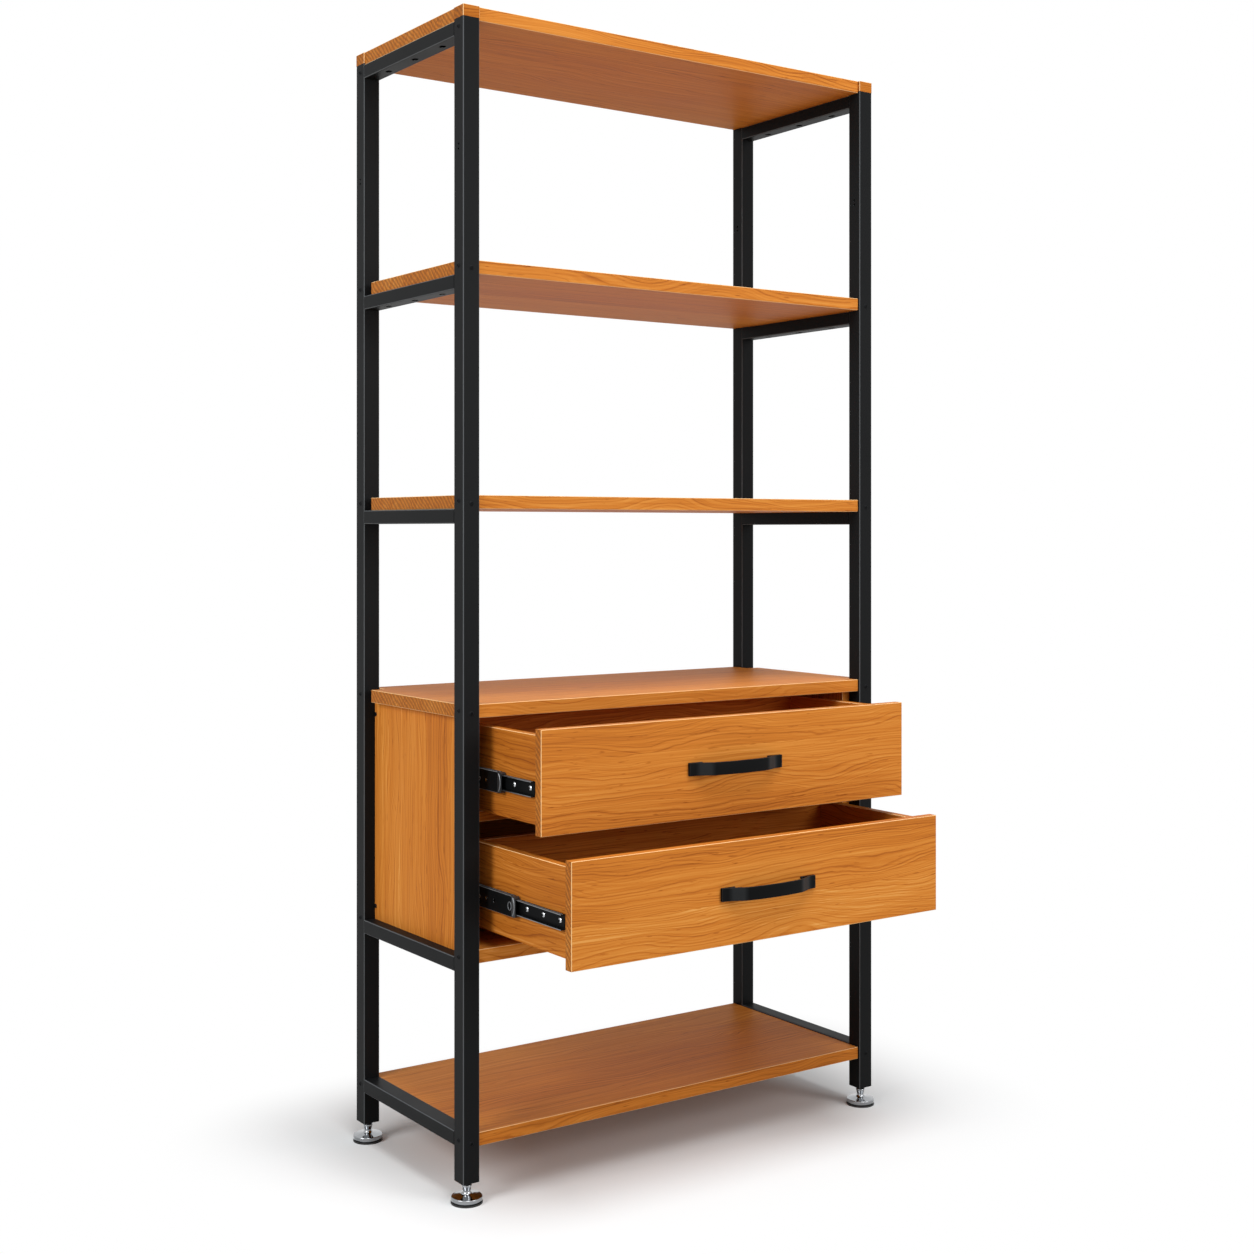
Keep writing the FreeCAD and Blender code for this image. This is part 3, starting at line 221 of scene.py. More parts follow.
def alder(name, stops, along, across, seed):
    """Alder whose grain runs along one axis, with its staves side by side across another."""
    material, tree = new_material(name)
    place = add(tree, COORDINATES, {}).node.outputs["Object"]
    axes = add(tree, SPLIT, {"Vector": place}).node.outputs
    through = axes[({0, 1, 2} - {along, across}).pop()]

    stave = add(tree, MATH, {0: axes[across], 1: 1 / STAVE, 2: seed * STAVE_SHIFT},
                operation="MULTIPLY_ADD")
    number = add(tree, MATH, {0: stave, 1: seed * STAVE_DRAW}, operation="ADD")
    number = add(tree, MATH, {0: number}, operation="FLOOR")
    luck = add(tree, "ShaderNodeTexWhiteNoise", {"W": number}, noise_dimensions="1D").node
    luck = add(tree, "ShaderNodeSeparateColor", {"Color": luck.outputs["Color"]}).node.outputs
    within = add(tree, MATH, {0: stave}, operation="FRACT")
    within = add(tree, MATH, {0: within, 1: STAVE, 2: -STAVE / 2}, operation="MULTIPLY_ADD")
    length = add(tree, MATH, {0: luck[2], 1: LOG_LENGTH, 2: axes[along]},
                 operation="MULTIPLY_ADD")
    lie = add(tree, JOIN, {"X": length, "Y": axes[across], "Z": through})
    figures = {}
    for figure, (waves, detail) in FIGURES.items():
        spot = add(tree, VECTOR, {0: lie, 1: waves}, operation="MULTIPLY")
        figures[figure] = add(tree, NOISE, {"Vector": spot, "Scale": 1.0, "Detail": detail,
                                            "Roughness": FIGURE_FINENESS})

    rings = add(tree, MATH, {0: through, 1: SLANT, 2: axes[across]}, operation="MULTIPLY_ADD")
    for figure, reach in (("swing", SWING), ("dome", DOME), ("ripple", RIPPLE)):
        rings = add(tree, MATH, {0: figures[figure], 1: reach, 2: rings},
                    operation="MULTIPLY_ADD")
    year = add(tree, MATH, {0: rings, 1: 1 / RING}, operation="MULTIPLY")
    year = add(tree, MATH, {0: year}, operation="FRACT")
    late = add(tree, RANGE, {"Value": year, "From Min": LATE_FROM, "From Max": LATE_FULL},
               interpolation_type="SMOOTHSTEP")
    band_place = add(tree, MATH, {0: rings, 1: BANDS}, operation="MULTIPLY")
    bands = add(tree, NOISE, {"W": band_place, "Scale": 1.0, "Detail": BAND_DETAIL,
                              "Roughness": BAND_FINENESS}, noise_dimensions="1D")
    clearness = add(tree, RANGE, {"Value": bands, "From Min": BAND_PALE, "From Max": BAND_DARK})
    late = add(tree, MATH, {0: late, 1: clearness}, operation="MULTIPLY")
    flecks = add(tree, RANGE, {"Value": figures["fleck"], "From Min": FLECK_FROM,
                               "From Max": FLECK_FULL}, interpolation_type="SMOOTHSTEP")
    edge = add(tree, MATH, {0: within}, operation="ABSOLUTE")
    glue_line = add(tree, RANGE, {"Value": edge, "From Min": STAVE / 2 - GLUE_LINE,
                                  "From Max": STAVE / 2})

    parts = dict(figures, bands=bands, stave=luck[1], late=late, flecks=flecks,
                 glue_line=glue_line)
    tone = MIDDLE_TONE
    for part, (middle, share) in TONES.items():
        centred = add(tree, MATH, {0: parts[part], 1: middle}, operation="SUBTRACT")
        tone = add(tree, MATH, {0: centred, 1: share, 2: tone}, operation="MULTIPLY_ADD")
    colour = add(tree, RAMP, {"Fac": tone}, stops)

    facing, most = squareness(tree)
    # Painted highlight: faces on a rounded edge are mixed towards a pale colour.
    arris_highlight = add(tree, RANGE, {"Value": most, "From Min": ARRIS_FROM, "From Max": ARRIS_FULL,
                              "To Max": ARRIS_HIGHLIGHT_SHARE})
    on_end = add(tree, RANGE, {"Value": facing[along], "From Min": END_FROM,
                               "From Max": END_FULL})
    strokes = add(tree, MATH, {0: through, 1: STROKE_SLANT, 2: axes[across]},
                  operation="MULTIPLY_ADD")
    for figure, strides in STROKE_WANDER:
        strokes = add(tree, MATH, {0: figures[figure], 1: strides * STROKE, 2: strokes},
                      operation="MULTIPLY_ADD")
    strokes = add(tree, MATH, {0: strokes, 1: STROKE}, operation="PINGPONG")
    end_mark = add(tree, RANGE, {"Value": strokes, "From Min": STROKE_EDGE * STROKE,
                                 "From Max": (1 - STROKE_EDGE) * STROKE,
                                 "To Min": STROKE_PALE, "To Max": STROKE_DARK},
                   interpolation_type="SMOOTHSTEP")
    on_end = add(tree, MATH, {0: on_end, 1: end_mark}, operation="MULTIPLY")
    # End grain is painted dark, partly for the oil it takes in and partly as painted shade.
    colour = add(tree, MIX, {SHARE: on_end, FIRST: colour, SECOND: linear(ALDER_END_OIL_AND_SHADE)},
                 data_type="RGBA")
    colour = add(tree, MIX, {SHARE: arris_highlight, FIRST: colour, SECOND: linear(ALDER_ARRIS_HIGHLIGHT)},
                 data_type="RGBA")

    relief = add(tree, MATH, {0: late, 1: LATE_RELIEF, 2: figures["fibre"]},
                 operation="MULTIPLY_ADD")
    relief = add(tree, BUMP, {"Height": relief, "Distance": GRAIN_DEPTH,
                              "Strength": GRAIN_STRENGTH})
    sheen = add(tree, MATH, {0: figures["fibre"], 1: FIBRE_ROUGHNESS, 2: OIL_ROUGHNESS},
                operation="MULTIPLY_ADD")
    shader = add(tree, PRINCIPLED, {"Base Color": colour, "Roughness": sheen, "Normal": relief,
                                    "Specular IOR Level": OIL_SHINE})
    add(tree, OUTPUT, {"Surface": shader})
    return material


# ------------------------------------------------------------------ steel, plastic and rubber
# The scale of a pattern is its waves a metre, and its depth is how far its relief stands out.

# Orange peel is about 0.5 mm from crest to crest. It is drawn at 2 mm, so that it shows.
PEEL = {"Scale": 500.0, "Detail": 2.0}
PEEL_DEPTH, PEEL_STRENGTH = 0.02 * MM, 0.4
COAT_CLOUDS = {"Scale": 9.0, "Detail": 3.0}
CLOUD_COLOUR, CLOUD_ROUGHNESS = 0.03, 0.12
# A face counts as a rounded corner by how squarely it looks along an axis.
CORNER_FROM, CORNER_FULL = 0.98, 0.85
# Turning marks are 0.1 mm apart. They are drawn at 1 mm, so that they show.
TURNING = {"Scale": 1000.0, "Detail": 2.0}
TURNING_DEPTH = 0.01 * MM
SMUDGES = {"Scale": 60.0, "Detail": 3.0}
SMUDGE_ROUGHNESS = 0.10
# A mould's grain is about 0.1 mm across. It is drawn at about 0.5 mm, so that it shows.
MOULD_GRAIN = {"Scale": 1800.0, "Detail": 2.0}
MOULD_DEPTH, MOULD_STRENGTH, MOULD_ROUGHNESS = 0.03 * MM, 0.3, 0.12


def powder_coat(name, colour, corner_highlight, gloss, shine):
    """Satin powder coat on steel: a fine orange peel breaks up what it mirrors, and the rounded
    corners are painted paler, a painted highlight."""
    material, tree = new_material(name)
    place = add(tree, COORDINATES, {}).node.outputs["Object"]
    peel = add(tree, NOISE, {"Vector": place, **PEEL})
    cloud = add(tree, NOISE, {"Vector": place, **COAT_CLOUDS})
    # Painted highlight: rounded corners are mixed towards the pale corner colour.
    corner = add(tree, RANGE, {"Value": squareness(tree)[1], "From Min": CORNER_FROM,
                               "From Max": CORNER_FULL})
    shade = add(tree, MATH, {0: cloud, 1: CLOUD_COLOUR, 2: corner}, operation="MULTIPLY_ADD")
    coat = add(tree, MIX, {SHARE: shade, FIRST: linear(colour), SECOND: linear(corner_highlight)},
               data_type="RGBA")
    sheen = add(tree, MATH, {0: cloud, 1: CLOUD_ROUGHNESS, 2: gloss},
                operation="MULTIPLY_ADD")
    relief = add(tree, BUMP, {"Height": peel, "Distance": PEEL_DEPTH,
                              "Strength": PEEL_STRENGTH})
    shader = add(tree, PRINCIPLED, {"Base Color": coat, "Roughness": sheen, "Normal": relief,
                                    "Specular IOR Level": shine})
    add(tree, OUTPUT, {"Surface": shader})
    return material


def bare_metal(name, colour, dull, gloss, marks):
    """Plated steel: its mirror image is a little clouded, and finely marked where it is turned."""
    material, tree = new_material(name)
    place = add(tree, COORDINATES, {}).node.outputs["Object"]
    smudge = add(tree, NOISE, {"Vector": place, **SMUDGES})
    turning = add(tree, NOISE, {"Vector": place, **TURNING})
    plate = add(tree, MIX, {SHARE: smudge, FIRST: linear(colour), SECOND: linear(dull)},
                data_type="RGBA")
    sheen = add(tree, MATH, {0: smudge, 1: SMUDGE_ROUGHNESS, 2: gloss},
                operation="MULTIPLY_ADD")
    relief = add(tree, BUMP, {"Height": turning, "Distance": TURNING_DEPTH, "Strength": marks})
    shader = add(tree, PRINCIPLED, {"Base Color": plate, "Metallic": 1.0, "Roughness": sheen,
                                    "Normal": relief})
    add(tree, OUTPUT, {"Surface": shader})
    return material


def moulded(name, colour, pale, gloss):
    """Moulded plastic or rubber with the fine grain of a spark-eroded mould."""
    material, tree = new_material(name)
    place = add(tree, COORDINATES, {}).node.outputs["Object"]
    grain = add(tree, NOISE, {"Vector": place, **MOULD_GRAIN})
    skin = add(tree, MIX, {SHARE: grain, FIRST: linear(colour), SECOND: linear(pale)},
               data_type="RGBA")
    sheen = add(tree, MATH, {0: grain, 1: MOULD_ROUGHNESS, 2: gloss},
                operation="MULTIPLY_ADD")
    relief = add(tree, BUMP, {"Height": grain, "Distance": MOULD_DEPTH,
                              "Strength": MOULD_STRENGTH})
    shader = add(tree, PRINCIPLED, {"Base Color": skin, "Roughness": sheen, "Normal": relief})
    add(tree, OUTPUT, {"Surface": shader})
    return material


# Posts and crossbars: satin black, with a grey painted highlight on the corners.
FRAME_COAT = powder_coat("powder_coated_steel", "121314", "54575A", 0.40, 0.06)
# Handles: a deeper and glossier black, with a faint painted highlight on the corners.
HANDLE_COAT = powder_coat("powder_coated_strap", "08090A", "2C2E30", 0.26, 0.06)
# Slides: dipped black with a grey painted highlight along every bend.
SLIDE_COAT = powder_coat("dipped_slide_steel", "070809", "7E8184", 0.34, 0.03)
# Screws of the frame: even dull black, with a faint painted highlight on rounded heads. The same
# black is the painted shadow disc on the floor of each wide socket.
SCREW_BLACK = powder_coat("blackened_screw_steel", "0B0C0D", "1A1B1D", 0.38, 0.04)
# Feet: a nearly clear mirror.
CHROME = bare_metal("polished_chrome", "ACAEB1", "8A8D90", 0.04, 0.05)
# Drawer screws, rivets and ball cages: pale, bright and a little blurred.
ZINC = bare_metal("bright_zinc", "D0D2D4", "9EA1A4", 0.22, 0.3)
# Spring wires: greyer steel that is rubbed bright. On the lips of the slides the same pale steel
# is a painted highlight.
BRIGHT_STEEL_AND_LIP_HIGHLIGHT = bare_metal("bright_steel_and_lip_highlight", "9A9DA0", "6E7174", 0.28, 0.2)
# Pads and rims of the feet: matt black with hardly a shine.
RUBBER = moulded("black_rubber", "121212", "262626", 0.62)
# Ends of the slides' middle members: black plastic with a soft shine.
ACETAL = moulded("black_acetal", "141516", "2A2B2D", 0.38)


def finish_nodes():
    """Gives every part its own finish. Each board is cut from other wood than the next."""
    wood = {
        "top_shelf": (X, Y), "upper_shelf": (X, Y), "middle_shelf": (X, Y),
        "cabinet_top": (X, Y), "cabinet_floor": (X, Y), "bottom_shelf": (X, Y),
        "corner_blocks": (X, Y), "drawer_divider": (X, Y),
        "cabinet_side_left": (Z, Y), "cabinet_side_right": (Z, Y), "cabinet_back": (X, Z),
    }
    shaded_parts = {"corner_blocks", "drawer_divider", "cabinet_back"}
    for drawer in DRAWERS:
        wood[f"{drawer}_drawer_front"] = (X, Z)
        box = {f"{drawer}_drawer_back": (X, Z), f"{drawer}_drawer_bottom": (X, Y),
               f"{drawer}_drawer_side_left": (Y, Z), f"{drawer}_drawer_side_right": (Y, Z)}
        wood.update(box)
        shaded_parts.update(box)
    finish = {"post_screws": SCREW_BLACK, "frame_screws": SCREW_BLACK,
              "slide_cabinet_members": SLIDE_COAT}
    for end in ENDS:
        for side in SIDES:
            finish[f"post_{end}_{side}"] = FRAME_COAT
            finish[f"foot_{end}_{side}"] = CHROME
            finish[f"foot_pad_{end}_{side}"] = RUBBER
    for bar in BARS:
        for side in SIDES:
            finish[f"crossbar_{bar}_{side}"] = FRAME_COAT
    for drawer in DRAWERS:
        finish[f"{drawer}_drawer_handle"] = HANDLE_COAT
        finish[f"{drawer}_drawer_slides"] = SLIDE_COAT
        finish[f"{drawer}_slide_middle_members"] = SLIDE_COAT
        finish[f"{drawer}_slide_bumpers"] = ACETAL
        finish[f"{drawer}_outer_ball_cages"] = ZINC
        finish[f"{drawer}_inner_ball_cages"] = ZINC
        finish[f"{drawer}_drawer_screws"] = ZINC
    for seed, (name, (along, across)) in enumerate(wood.items(), start=1):
        # Parts that stand in shadow take the darker alder, as painted shade.
        stops = ALDER_PAINTED_SHADE if name in shaded_parts else ALDER
        finish[name] = alder(f"oiled_alder_{name}", stops, along, across, seed)
    for name, material in finish.items():
        data = nodes[name].data
        data.materials.clear()
        data.materials.append(material)


# ------------------------------------------------------------------ ways of making a piece

# Corners nearer than this are one corner.
WELD = 0.001 * MM
SHARP_EDGE = math.radians(32)


def solids_of(node):
    """The separate pieces that share a node, as corner lists from a merged copy of its mesh."""
    shape = bmesh.new()
    shape.from_mesh(nodes[node].data)
    bmesh.ops.remove_doubles(shape, verts=shape.verts, dist=WELD)
    left, solids = set(shape.verts), []
    while left:
        found, edge = set(), [left.pop()]
        while edge:
            corner = edge.pop()
            found.add(corner)
            edge += [near for link in corner.link_edges for near in link.verts if near in left]
            left.difference_update(edge)
        solids.append([corner.co.copy() for corner in found])
    shape.free()
    return solids


def finished(name, shape, material, slot, body, *stands_for):
    """Makes a piece of the shape, smooth but for its sharp edges, and puts it on its body."""
    bmesh.ops.recalc_face_normals(shape, faces=shape.faces)
    mesh = bpy.data.meshes.new(name)
    shape.to_mesh(mesh)
    shape.free()
    mesh.shade_smooth()
    mesh.set_sharp_from_angle(angle=SHARP_EDGE)
    mesh.materials.append(material)
    piece = bpy.data.objects.new(name, mesh)
    bpy.context.scene.collection.objects.link(piece)
    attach(piece, body)
    if stands_for:
        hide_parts(*stands_for)


# ------------------------------------------------------------------ screws
# Each head has the six-sided socket that it is driven by. A domed head has a wide socket, and a
# flat head, which lies in a cone in the steel, has a narrow one.

SHANK = 2.0 * MM
# A head that rises less than this is a flat one.
LEAST_CROWN = 0.5 * MM
SOCKET = 2.5 * MM
FLAT_SOCKET = 1.15 * MM
SOCKET_DEPTH = 1.5 * MM
# The painted shadow disc on a socket's floor reaches this far out to the socket's corners, which
# is just past its flats.
SHADOW_DISC_FIT = 0.9
# A corner this near to the socket's wall belongs to it.
WALL_FIT = 0.01 * MM
# A head's brim is what lies beyond this share of its radius.
BRIM = 0.98
HEAD_STEPS = 5
ROUND = 24
SIX_SIDES = math.radians(60)


def add_screw(shape, shadow_discs, corners):
    """Turns one screw about its own axis and presses a six-sided socket into its head. A wide
    socket gets a dark disc of its own on its floor: painted shadow in the recess."""
    low = Vector([min(corner[axis] for corner in corners) for axis in range(3)])
    high = Vector([max(corner[axis] for corner in corners) for axis in range(3)])
    middle, spans = (low + high) / 2, high - low
    lengthwise = max(range(3), key=lambda axis: spans[axis])
    head = min(spans) / 2
    brim = [corner[lengthwise] for corner in corners
            if (corner - middle).length_squared - (corner - middle)[lengthwise] ** 2
            > (BRIM * head) ** 2]
    pointing = Vector((0, 0, 0))
    pointing[lengthwise] = math.copysign(1, middle[lengthwise] - sum(brim) / len(brim))
    length = spans[lengthwise]
    start = middle - pointing * length / 2
    crown = max(abs(place - start[lengthwise]) for place in brim)

    if crown > LEAST_CROWN:
        socket = SOCKET
        sphere = (head ** 2 + crown ** 2) / (2 * crown)
        rim = [(reach, sphere - math.sqrt(sphere ** 2 - reach ** 2))
               for reach in (socket + (head - socket) * step / HEAD_STEPS
                             for step in range(HEAD_STEPS + 1))]
        rim.append((SHANK, crown))
    else:
        socket = FLAT_SOCKET
        rim = [(socket, 0), (head, 0), (SHANK, head - SHANK)]
    top = rim[0][1]
    profile = [(0, top + SOCKET_DEPTH), (socket, top + SOCKET_DEPTH)] + rim
    profile += [(SHANK, length - SHANK), (0, length)]

    before = set(shape.verts)
    line = [shape.verts.new((reach, 0, height)) for reach, height in profile]
    edges = [shape.edges.new(pair) for pair in zip(line, line[1:])]
    bmesh.ops.spin(shape, geom=line + edges, axis=(0, 0, 1), cent=(0, 0, 0), steps=ROUND,
                   angle=math.tau, use_merge=True)
    made = [corner for corner in shape.verts if corner not in before]
    bmesh.ops.remove_doubles(shape, verts=made, dist=WELD)
    made = [corner for corner in shape.verts if corner not in before]
    for corner in made:
        if abs(corner.co.xy.length - socket) < WALL_FIT and corner.co.z < top + 2 * SOCKET_DEPTH:
            round_it = math.atan2(corner.co.y, corner.co.x) % SIX_SIDES - SIX_SIDES / 2
            corner.co.xy *= math.cos(SIX_SIDES / 2) / math.cos(round_it)
    turn = Vector((0, 0, 1)).rotation_difference(pointing).to_matrix().to_4x4()
    bmesh.ops.transform(shape, matrix=Matrix.Translation(start) @ turn, verts=made)
    # A dark disc in the floor of a wide socket: painted shadow.
    if socket == SOCKET:
        rise = Matrix.Translation((0, 0, top + SOCKET_DEPTH / 2))
        bmesh.ops.create_cone(shadow_discs, cap_ends=True, segments=ROUND, radius1=SOCKET * SHADOW_DISC_FIT,
                              radius2=SOCKET * SHADOW_DISC_FIT, depth=SOCKET_DEPTH / 2,
                              matrix=Matrix.Translation(start) @ turn @ rise)


def add_screws():
    """Every screw of every node of screws, with its socket."""
    for node, body, material, slot in (
            ("post_screws", "frame", SCREW_BLACK, "black_handles_and_screws"),
            ("frame_screws", "frame", SCREW_BLACK, "black_handles_and_screws"),
            ("upper_drawer_screws", "upper_drawer", ZINC, "zinc_steel"),
            ("lower_drawer_screws", "lower_drawer", ZINC, "zinc_steel")):
        shape, shadow_discs = bmesh.new(), bmesh.new()
        for corners in solids_of(node):
            add_screw(shape, shadow_discs, corners)
        finished(f"socket_{node}", shape, material, slot, body, node)
        # The dark discs are painted shadow in the wide sockets.
        if shadow_discs.faces:
            finished(f"{node}_socket_shadow_discs", shadow_discs, SCREW_BLACK, slot, body)


# ------------------------------------------------------------------ handles and feet

RIM_REACH = (25.4 * MM, 26.9 * MM)
RIM_HEIGHT = 3.0 * MM


def smooth_copy(node, body, material, slot):
    """The same bent strap or turned foot, with its curves smooth."""
    shape = bmesh.new()
    shape.from_mesh(nodes[node].data)
    bmesh.ops.remove_doubles(shape, verts=shape.verts, dist=WELD)
    finished(f"smooth_{node}", shape, material, slot, body, node)


def add_rubber_rim(end, side):
    """Rubber rim that shows as a dark line round the bottom of a foot."""
    foot = nodes[f"foot_{end}_{side}"].data.vertices
    middle = [(min(corner.co[axis] for corner in foot) + max(corner.co[axis] for corner in foot))
              / 2 for axis in (X, Y)]
    inner, outer = RIM_REACH
    profile = [(inner, 0), (outer, 0), (outer, RIM_HEIGHT), (inner, RIM_HEIGHT)]
    shape = bmesh.new()
    line = [shape.verts.new((middle[0] + reach, middle[1], height)) for reach, height in profile]
    edges = [shape.edges.new(pair) for pair in zip(line, line[1:] + line[:1])]
    bmesh.ops.spin(shape, geom=line + edges, axis=(0, 0, 1), cent=(*middle, 0), steps=2 * ROUND,
                   angle=math.tau, use_merge=True)
    finished(f"foot_rim_{end}_{side}", shape, RUBBER, "foot_rubber", f"foot_{end}_{side}")


def add_smooth_pieces():
    """The handles and the feet, and a rim on each foot."""
    for drawer in DRAWERS:
        smooth_copy(f"{drawer}_drawer_handle", f"{drawer}_drawer", HANDLE_COAT,
                    "black_handles_and_screws")
    for end in ENDS:
        for side in SIDES:
            smooth_copy(f"foot_{end}_{side}", f"foot_{end}_{side}", CHROME, "chrome_feet")
            add_rubber_rim(end, side)


# ------------------------------------------------------------------ slide details
# Pale strips along the rolled lips of the member on the drawer, a painted highlight, and on the
# middle member a rivet, a pressed dimple and the spring wire that holds the front stop. The lower
# slides have a release loop too.
# Heights are over the floor, and places from front to back are with the drawers as they stand.

SLIDE_CENTRE = {"upper": 707.75 * MM, "lower": 508.0 * MM}
# The backs of the slides stand this far from the middle of the bookcase.
SLIDE_BACK = 412.0 * MM
MIDDLE_WEB = 1.8 * MM
LIP_EDGE = 4.5 * MM
LIP_LEVEL = 12.15 * MM
LIP_WIDTH, LIP_THICKNESS = 1.8 * MM, 1.2 * MM
MEMBER_FRONT = {"upper": -329.4 * MM, "lower": -419.4 * MM}
MEMBER_LENGTH = 300.0 * MM
STOP_FRONT = {"upper": -239.1 * MM, "lower": -284.1 * MM}
STOP_LENGTH = 11.7 * MM
SPRING_REACH = 14.5 * MM
SPRING_BOW = 5.0 * MM
SPRING_WIDTH, SPRING_THICKNESS = 2.6 * MM, 0.9 * MM
LOOP_TALL, LOOP_WIDE = 7.0 * MM, 5.2 * MM
LOOP_BEHIND = 6.0 * MM
LOOP_WIDTH = 1.6 * MM
RIVET_FROM_FRONT = {"upper": 49.0 * MM, "lower": 94.0 * MM}
RIVET = 2.4 * MM
RIVET_HEIGHT = 0.4 * MM
DIMPLE_BEHIND = 22.0 * MM
DIMPLE = 2.6 * MM
WIRE_SIDES = 8
BEND_STEPS = 14


def add_wire(shape, x, path, width, thickness, closed=False):
    """Wire of flattened round section along a path of (y, z) places in the plane at x."""
    rings = []
    for index, (y, z) in enumerate(path):
        if closed:
            before, after = path[index - 1], path[(index + 1) % len(path)]
        else:
            before, after = path[max(index - 1, 0)], path[min(index + 1, len(path) - 1)]
        ahead = Vector((0, after[0] - before[0], after[1] - before[1])).normalized()
        across = ahead.cross(Vector((1, 0, 0)))
        ring = []
        for step in range(WIRE_SIDES):
            turn = math.tau * step / WIRE_SIDES
            ring.append(shape.verts.new(
                Vector((x + thickness / 2 * math.cos(turn), y, z))
                + width / 2 * math.sin(turn) * across))
        rings.append(ring)
    pairs = list(zip(rings, rings[1:]))
    if closed:
        pairs.append((rings[-1], rings[0]))
    else:
        shape.faces.new(rings[0])
        shape.faces.new(rings[-1])
    for near, far in pairs:
        for step in range(WIRE_SIDES):
            after = (step + 1) % WIRE_SIDES
            shape.faces.new((near[step], near[after], far[after], far[step]))


def add_rivet(shape, x, y, z, outward):
    """Low domed rivet on the plane at x."""
    line = []
    for step in range(HEAD_STEPS + 1):
        turn = math.radians(90) * step / HEAD_STEPS
        line.append(shape.verts.new((x + outward * RIVET_HEIGHT * math.cos(turn),
                                     y + RIVET * math.sin(turn), z)))
    line.append(shape.verts.new((x, y, z)))
    edges = [shape.edges.new(pair) for pair in zip(line, line[1:])]
    bmesh.ops.spin(shape, geom=line + edges, axis=(1, 0, 0), cent=(x, y, z), steps=ROUND,
                   angle=math.tau, use_merge=True)
    bmesh.ops.remove_doubles(shape, verts=shape.verts, dist=WELD)


def add_slide_details():
    """Painted highlight strips on the lips, and the springs, dimples and rivets of all four
    slides.
    """
    for drawer in DRAWERS:
        level, front = SLIDE_CENTRE[drawer], STOP_FRONT[drawer]
        lip_highlights, springs, rivets = bmesh.new(), bmesh.new(), bmesh.new()
        for outward in (-1, 1):
            edge = outward * (SLIDE_BACK - LIP_EDGE)
            web = outward * (SLIDE_BACK - MIDDLE_WEB)
            # Pale strips along the lips: painted highlight.
            for z in (level - LIP_LEVEL, level + LIP_LEVEL):
                ends = MEMBER_FRONT[drawer], MEMBER_FRONT[drawer] + MEMBER_LENGTH
                add_wire(lip_highlights, edge, [(y, z) for y in ends], LIP_WIDTH, LIP_THICKNESS)
            bow = []
            for step in range(BEND_STEPS + 1):
                share = 2 * step / BEND_STEPS - 1
                bow.append((front + STOP_LENGTH / 2 + SPRING_BOW * (share ** 2 - 0.5),
                            level + SPRING_REACH * share))
            add_wire(springs, web, bow, SPRING_WIDTH, SPRING_THICKNESS)
            rivet = front + RIVET_FROM_FRONT[drawer]
            add_rivet(rivets, web, rivet, level, outward)
            circle = [math.tau * step / BEND_STEPS for step in range(BEND_STEPS)]
            add_wire(springs, web, [(rivet + DIMPLE_BEHIND + DIMPLE * math.cos(turn),
                                     level + DIMPLE * math.sin(turn)) for turn in circle],
                     LOOP_WIDTH, SPRING_THICKNESS, closed=True)
            if drawer == "lower":
                behind = front + STOP_LENGTH + LOOP_BEHIND
                add_wire(springs, web, [(behind + LOOP_WIDE * math.cos(turn),
                                         level + LOOP_TALL * math.sin(turn)) for turn in circle],
                         LOOP_WIDTH, SPRING_THICKNESS, closed=True)
        finished(f"{drawer}_slide_lip_highlights", lip_highlights, BRIGHT_STEEL_AND_LIP_HIGHLIGHT, "black_slide_steel",
                 f"{drawer}_drawer")
        finished(f"{drawer}_slide_spring_wires", springs, BRIGHT_STEEL_AND_LIP_HIGHLIGHT, "black_slide_steel",
                 f"{drawer}_middle_members")
        finished(f"{drawer}_slide_rivets", rivets, ZINC, "zinc_steel",
                 f"{drawer}_middle_members")


# ------------------------------------------------------------------ floor and light

FLOOR_REACH = 14.0
FOOTPRINT = (0.46, 0.20, 0.0)
# The shadowed floor goes over to white ground between these distances from the footprint.
CLEAR_FROM = 0.02
CLEAR_TO = 0.38
FLOOR_SEEN = "EEF0F1"
# The floor throws back less light than it shows, so that undersides keep their shade.
FLOOR_BOUNCE = "BEB9B0"
AMBIENT = 0.34


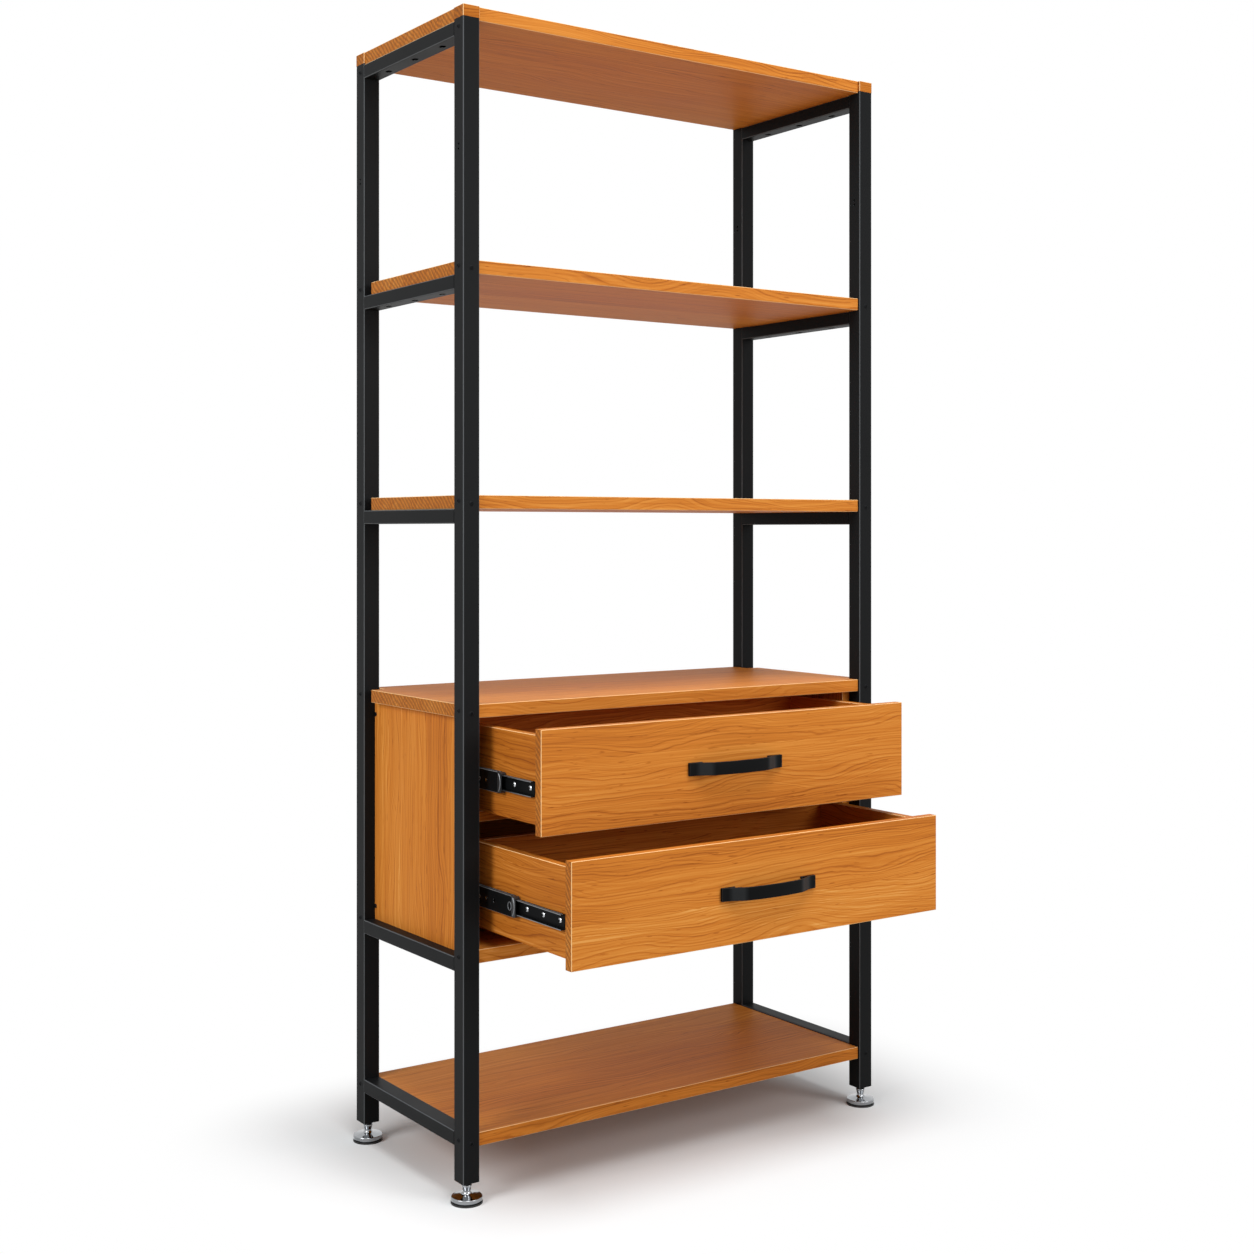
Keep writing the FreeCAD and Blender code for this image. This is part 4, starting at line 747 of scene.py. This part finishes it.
def add_floor():
    """Pale floor that keeps the bookcase's shadow and goes over to a white ground further off."""
    shape = bmesh.new()
    bmesh.ops.create_grid(shape, x_segments=1, y_segments=1, size=FLOOR_REACH)
    mesh = bpy.data.meshes.new("floor")
    shape.to_mesh(mesh)
    shape.free()
    floor = bpy.data.objects.new("floor", mesh)
    bpy.context.scene.collection.objects.link(floor)

    material, tree = new_material("matt_studio_floor")
    place = add(tree, COORDINATES, {}).node.outputs["Object"]
    outside = add(tree, VECTOR, {0: place}, operation="ABSOLUTE")
    outside = add(tree, VECTOR, {0: outside, 1: FOOTPRINT}, operation="SUBTRACT")
    outside = add(tree, VECTOR, {0: outside}, operation="MAXIMUM")
    away = add(tree, VECTOR, {0: outside}, operation="LENGTH").node.outputs["Value"]
    far = add(tree, RANGE, {"Value": away, "From Min": CLEAR_FROM, "From Max": CLEAR_TO},
              interpolation_type="SMOOTHSTEP")
    seen = looked_at(tree)
    clear = add(tree, MATH, {0: seen, 1: far}, operation="MULTIPLY")
    paper = add(tree, MIX, {SHARE: seen, FIRST: linear(FLOOR_BOUNCE),
                            SECOND: linear(FLOOR_SEEN)}, data_type="RGBA")
    paper = add(tree, "ShaderNodeBsdfDiffuse", {"Color": paper})
    white = add(tree, "ShaderNodeEmission", {"Color": WHITE, "Strength": 1.0})
    both = add(tree, "ShaderNodeMixShader", {0: clear, 1: paper, 2: white})
    add(tree, OUTPUT, {"Surface": both})
    mesh.materials.append(material)


def add_world():
    """White surroundings: full white where they are seen, softer where they light."""
    world = bpy.data.worlds.new("studio")
    bpy.context.scene.world = world
    world.use_nodes = True
    tree = world.node_tree
    tree.nodes.clear()
    strength = add(tree, MATH, {0: looked_at(tree), 1: 1.0 - AMBIENT, 2: AMBIENT},
                   operation="MULTIPLY_ADD")
    ground = add(tree, "ShaderNodeBackground", {"Color": WHITE, "Strength": strength})
    add(tree, "ShaderNodeOutputWorld", {"Surface": ground})


LAMPS = {
    # name: place, size, power in watts
    "key": ((-3.7, -0.7, 2.3), 1.7, 80.0),
    "front": ((1.7, -4.0, 2.0), 1.8, 58.0),
    "top": ((-0.3, -2.5, 6.2), 3.2, 265.0),
}
AIM = Vector((0, 0, 0.9))


def add_lamps():
    """Three square soft lamps, all turned to one point near the middle of the bookcase."""
    for name, (place, size, power) in LAMPS.items():
        data = bpy.data.lights.new(name, "AREA")
        data.shape = "SQUARE"
        data.size = size
        data.energy = power
        lamp = bpy.data.objects.new(name, data)
        lamp.location = place
        lamp.rotation_euler = (AIM - Vector(place)).to_track_quat("-Z", "Y").to_euler()
        bpy.context.scene.collection.objects.link(lamp)


add_camera()
finish_nodes()
add_screws()
add_smooth_pieces()
add_slide_details()
add_floor()
add_world()
add_lamps()
bpy.context.scene.view_settings.view_transform = "Standard"
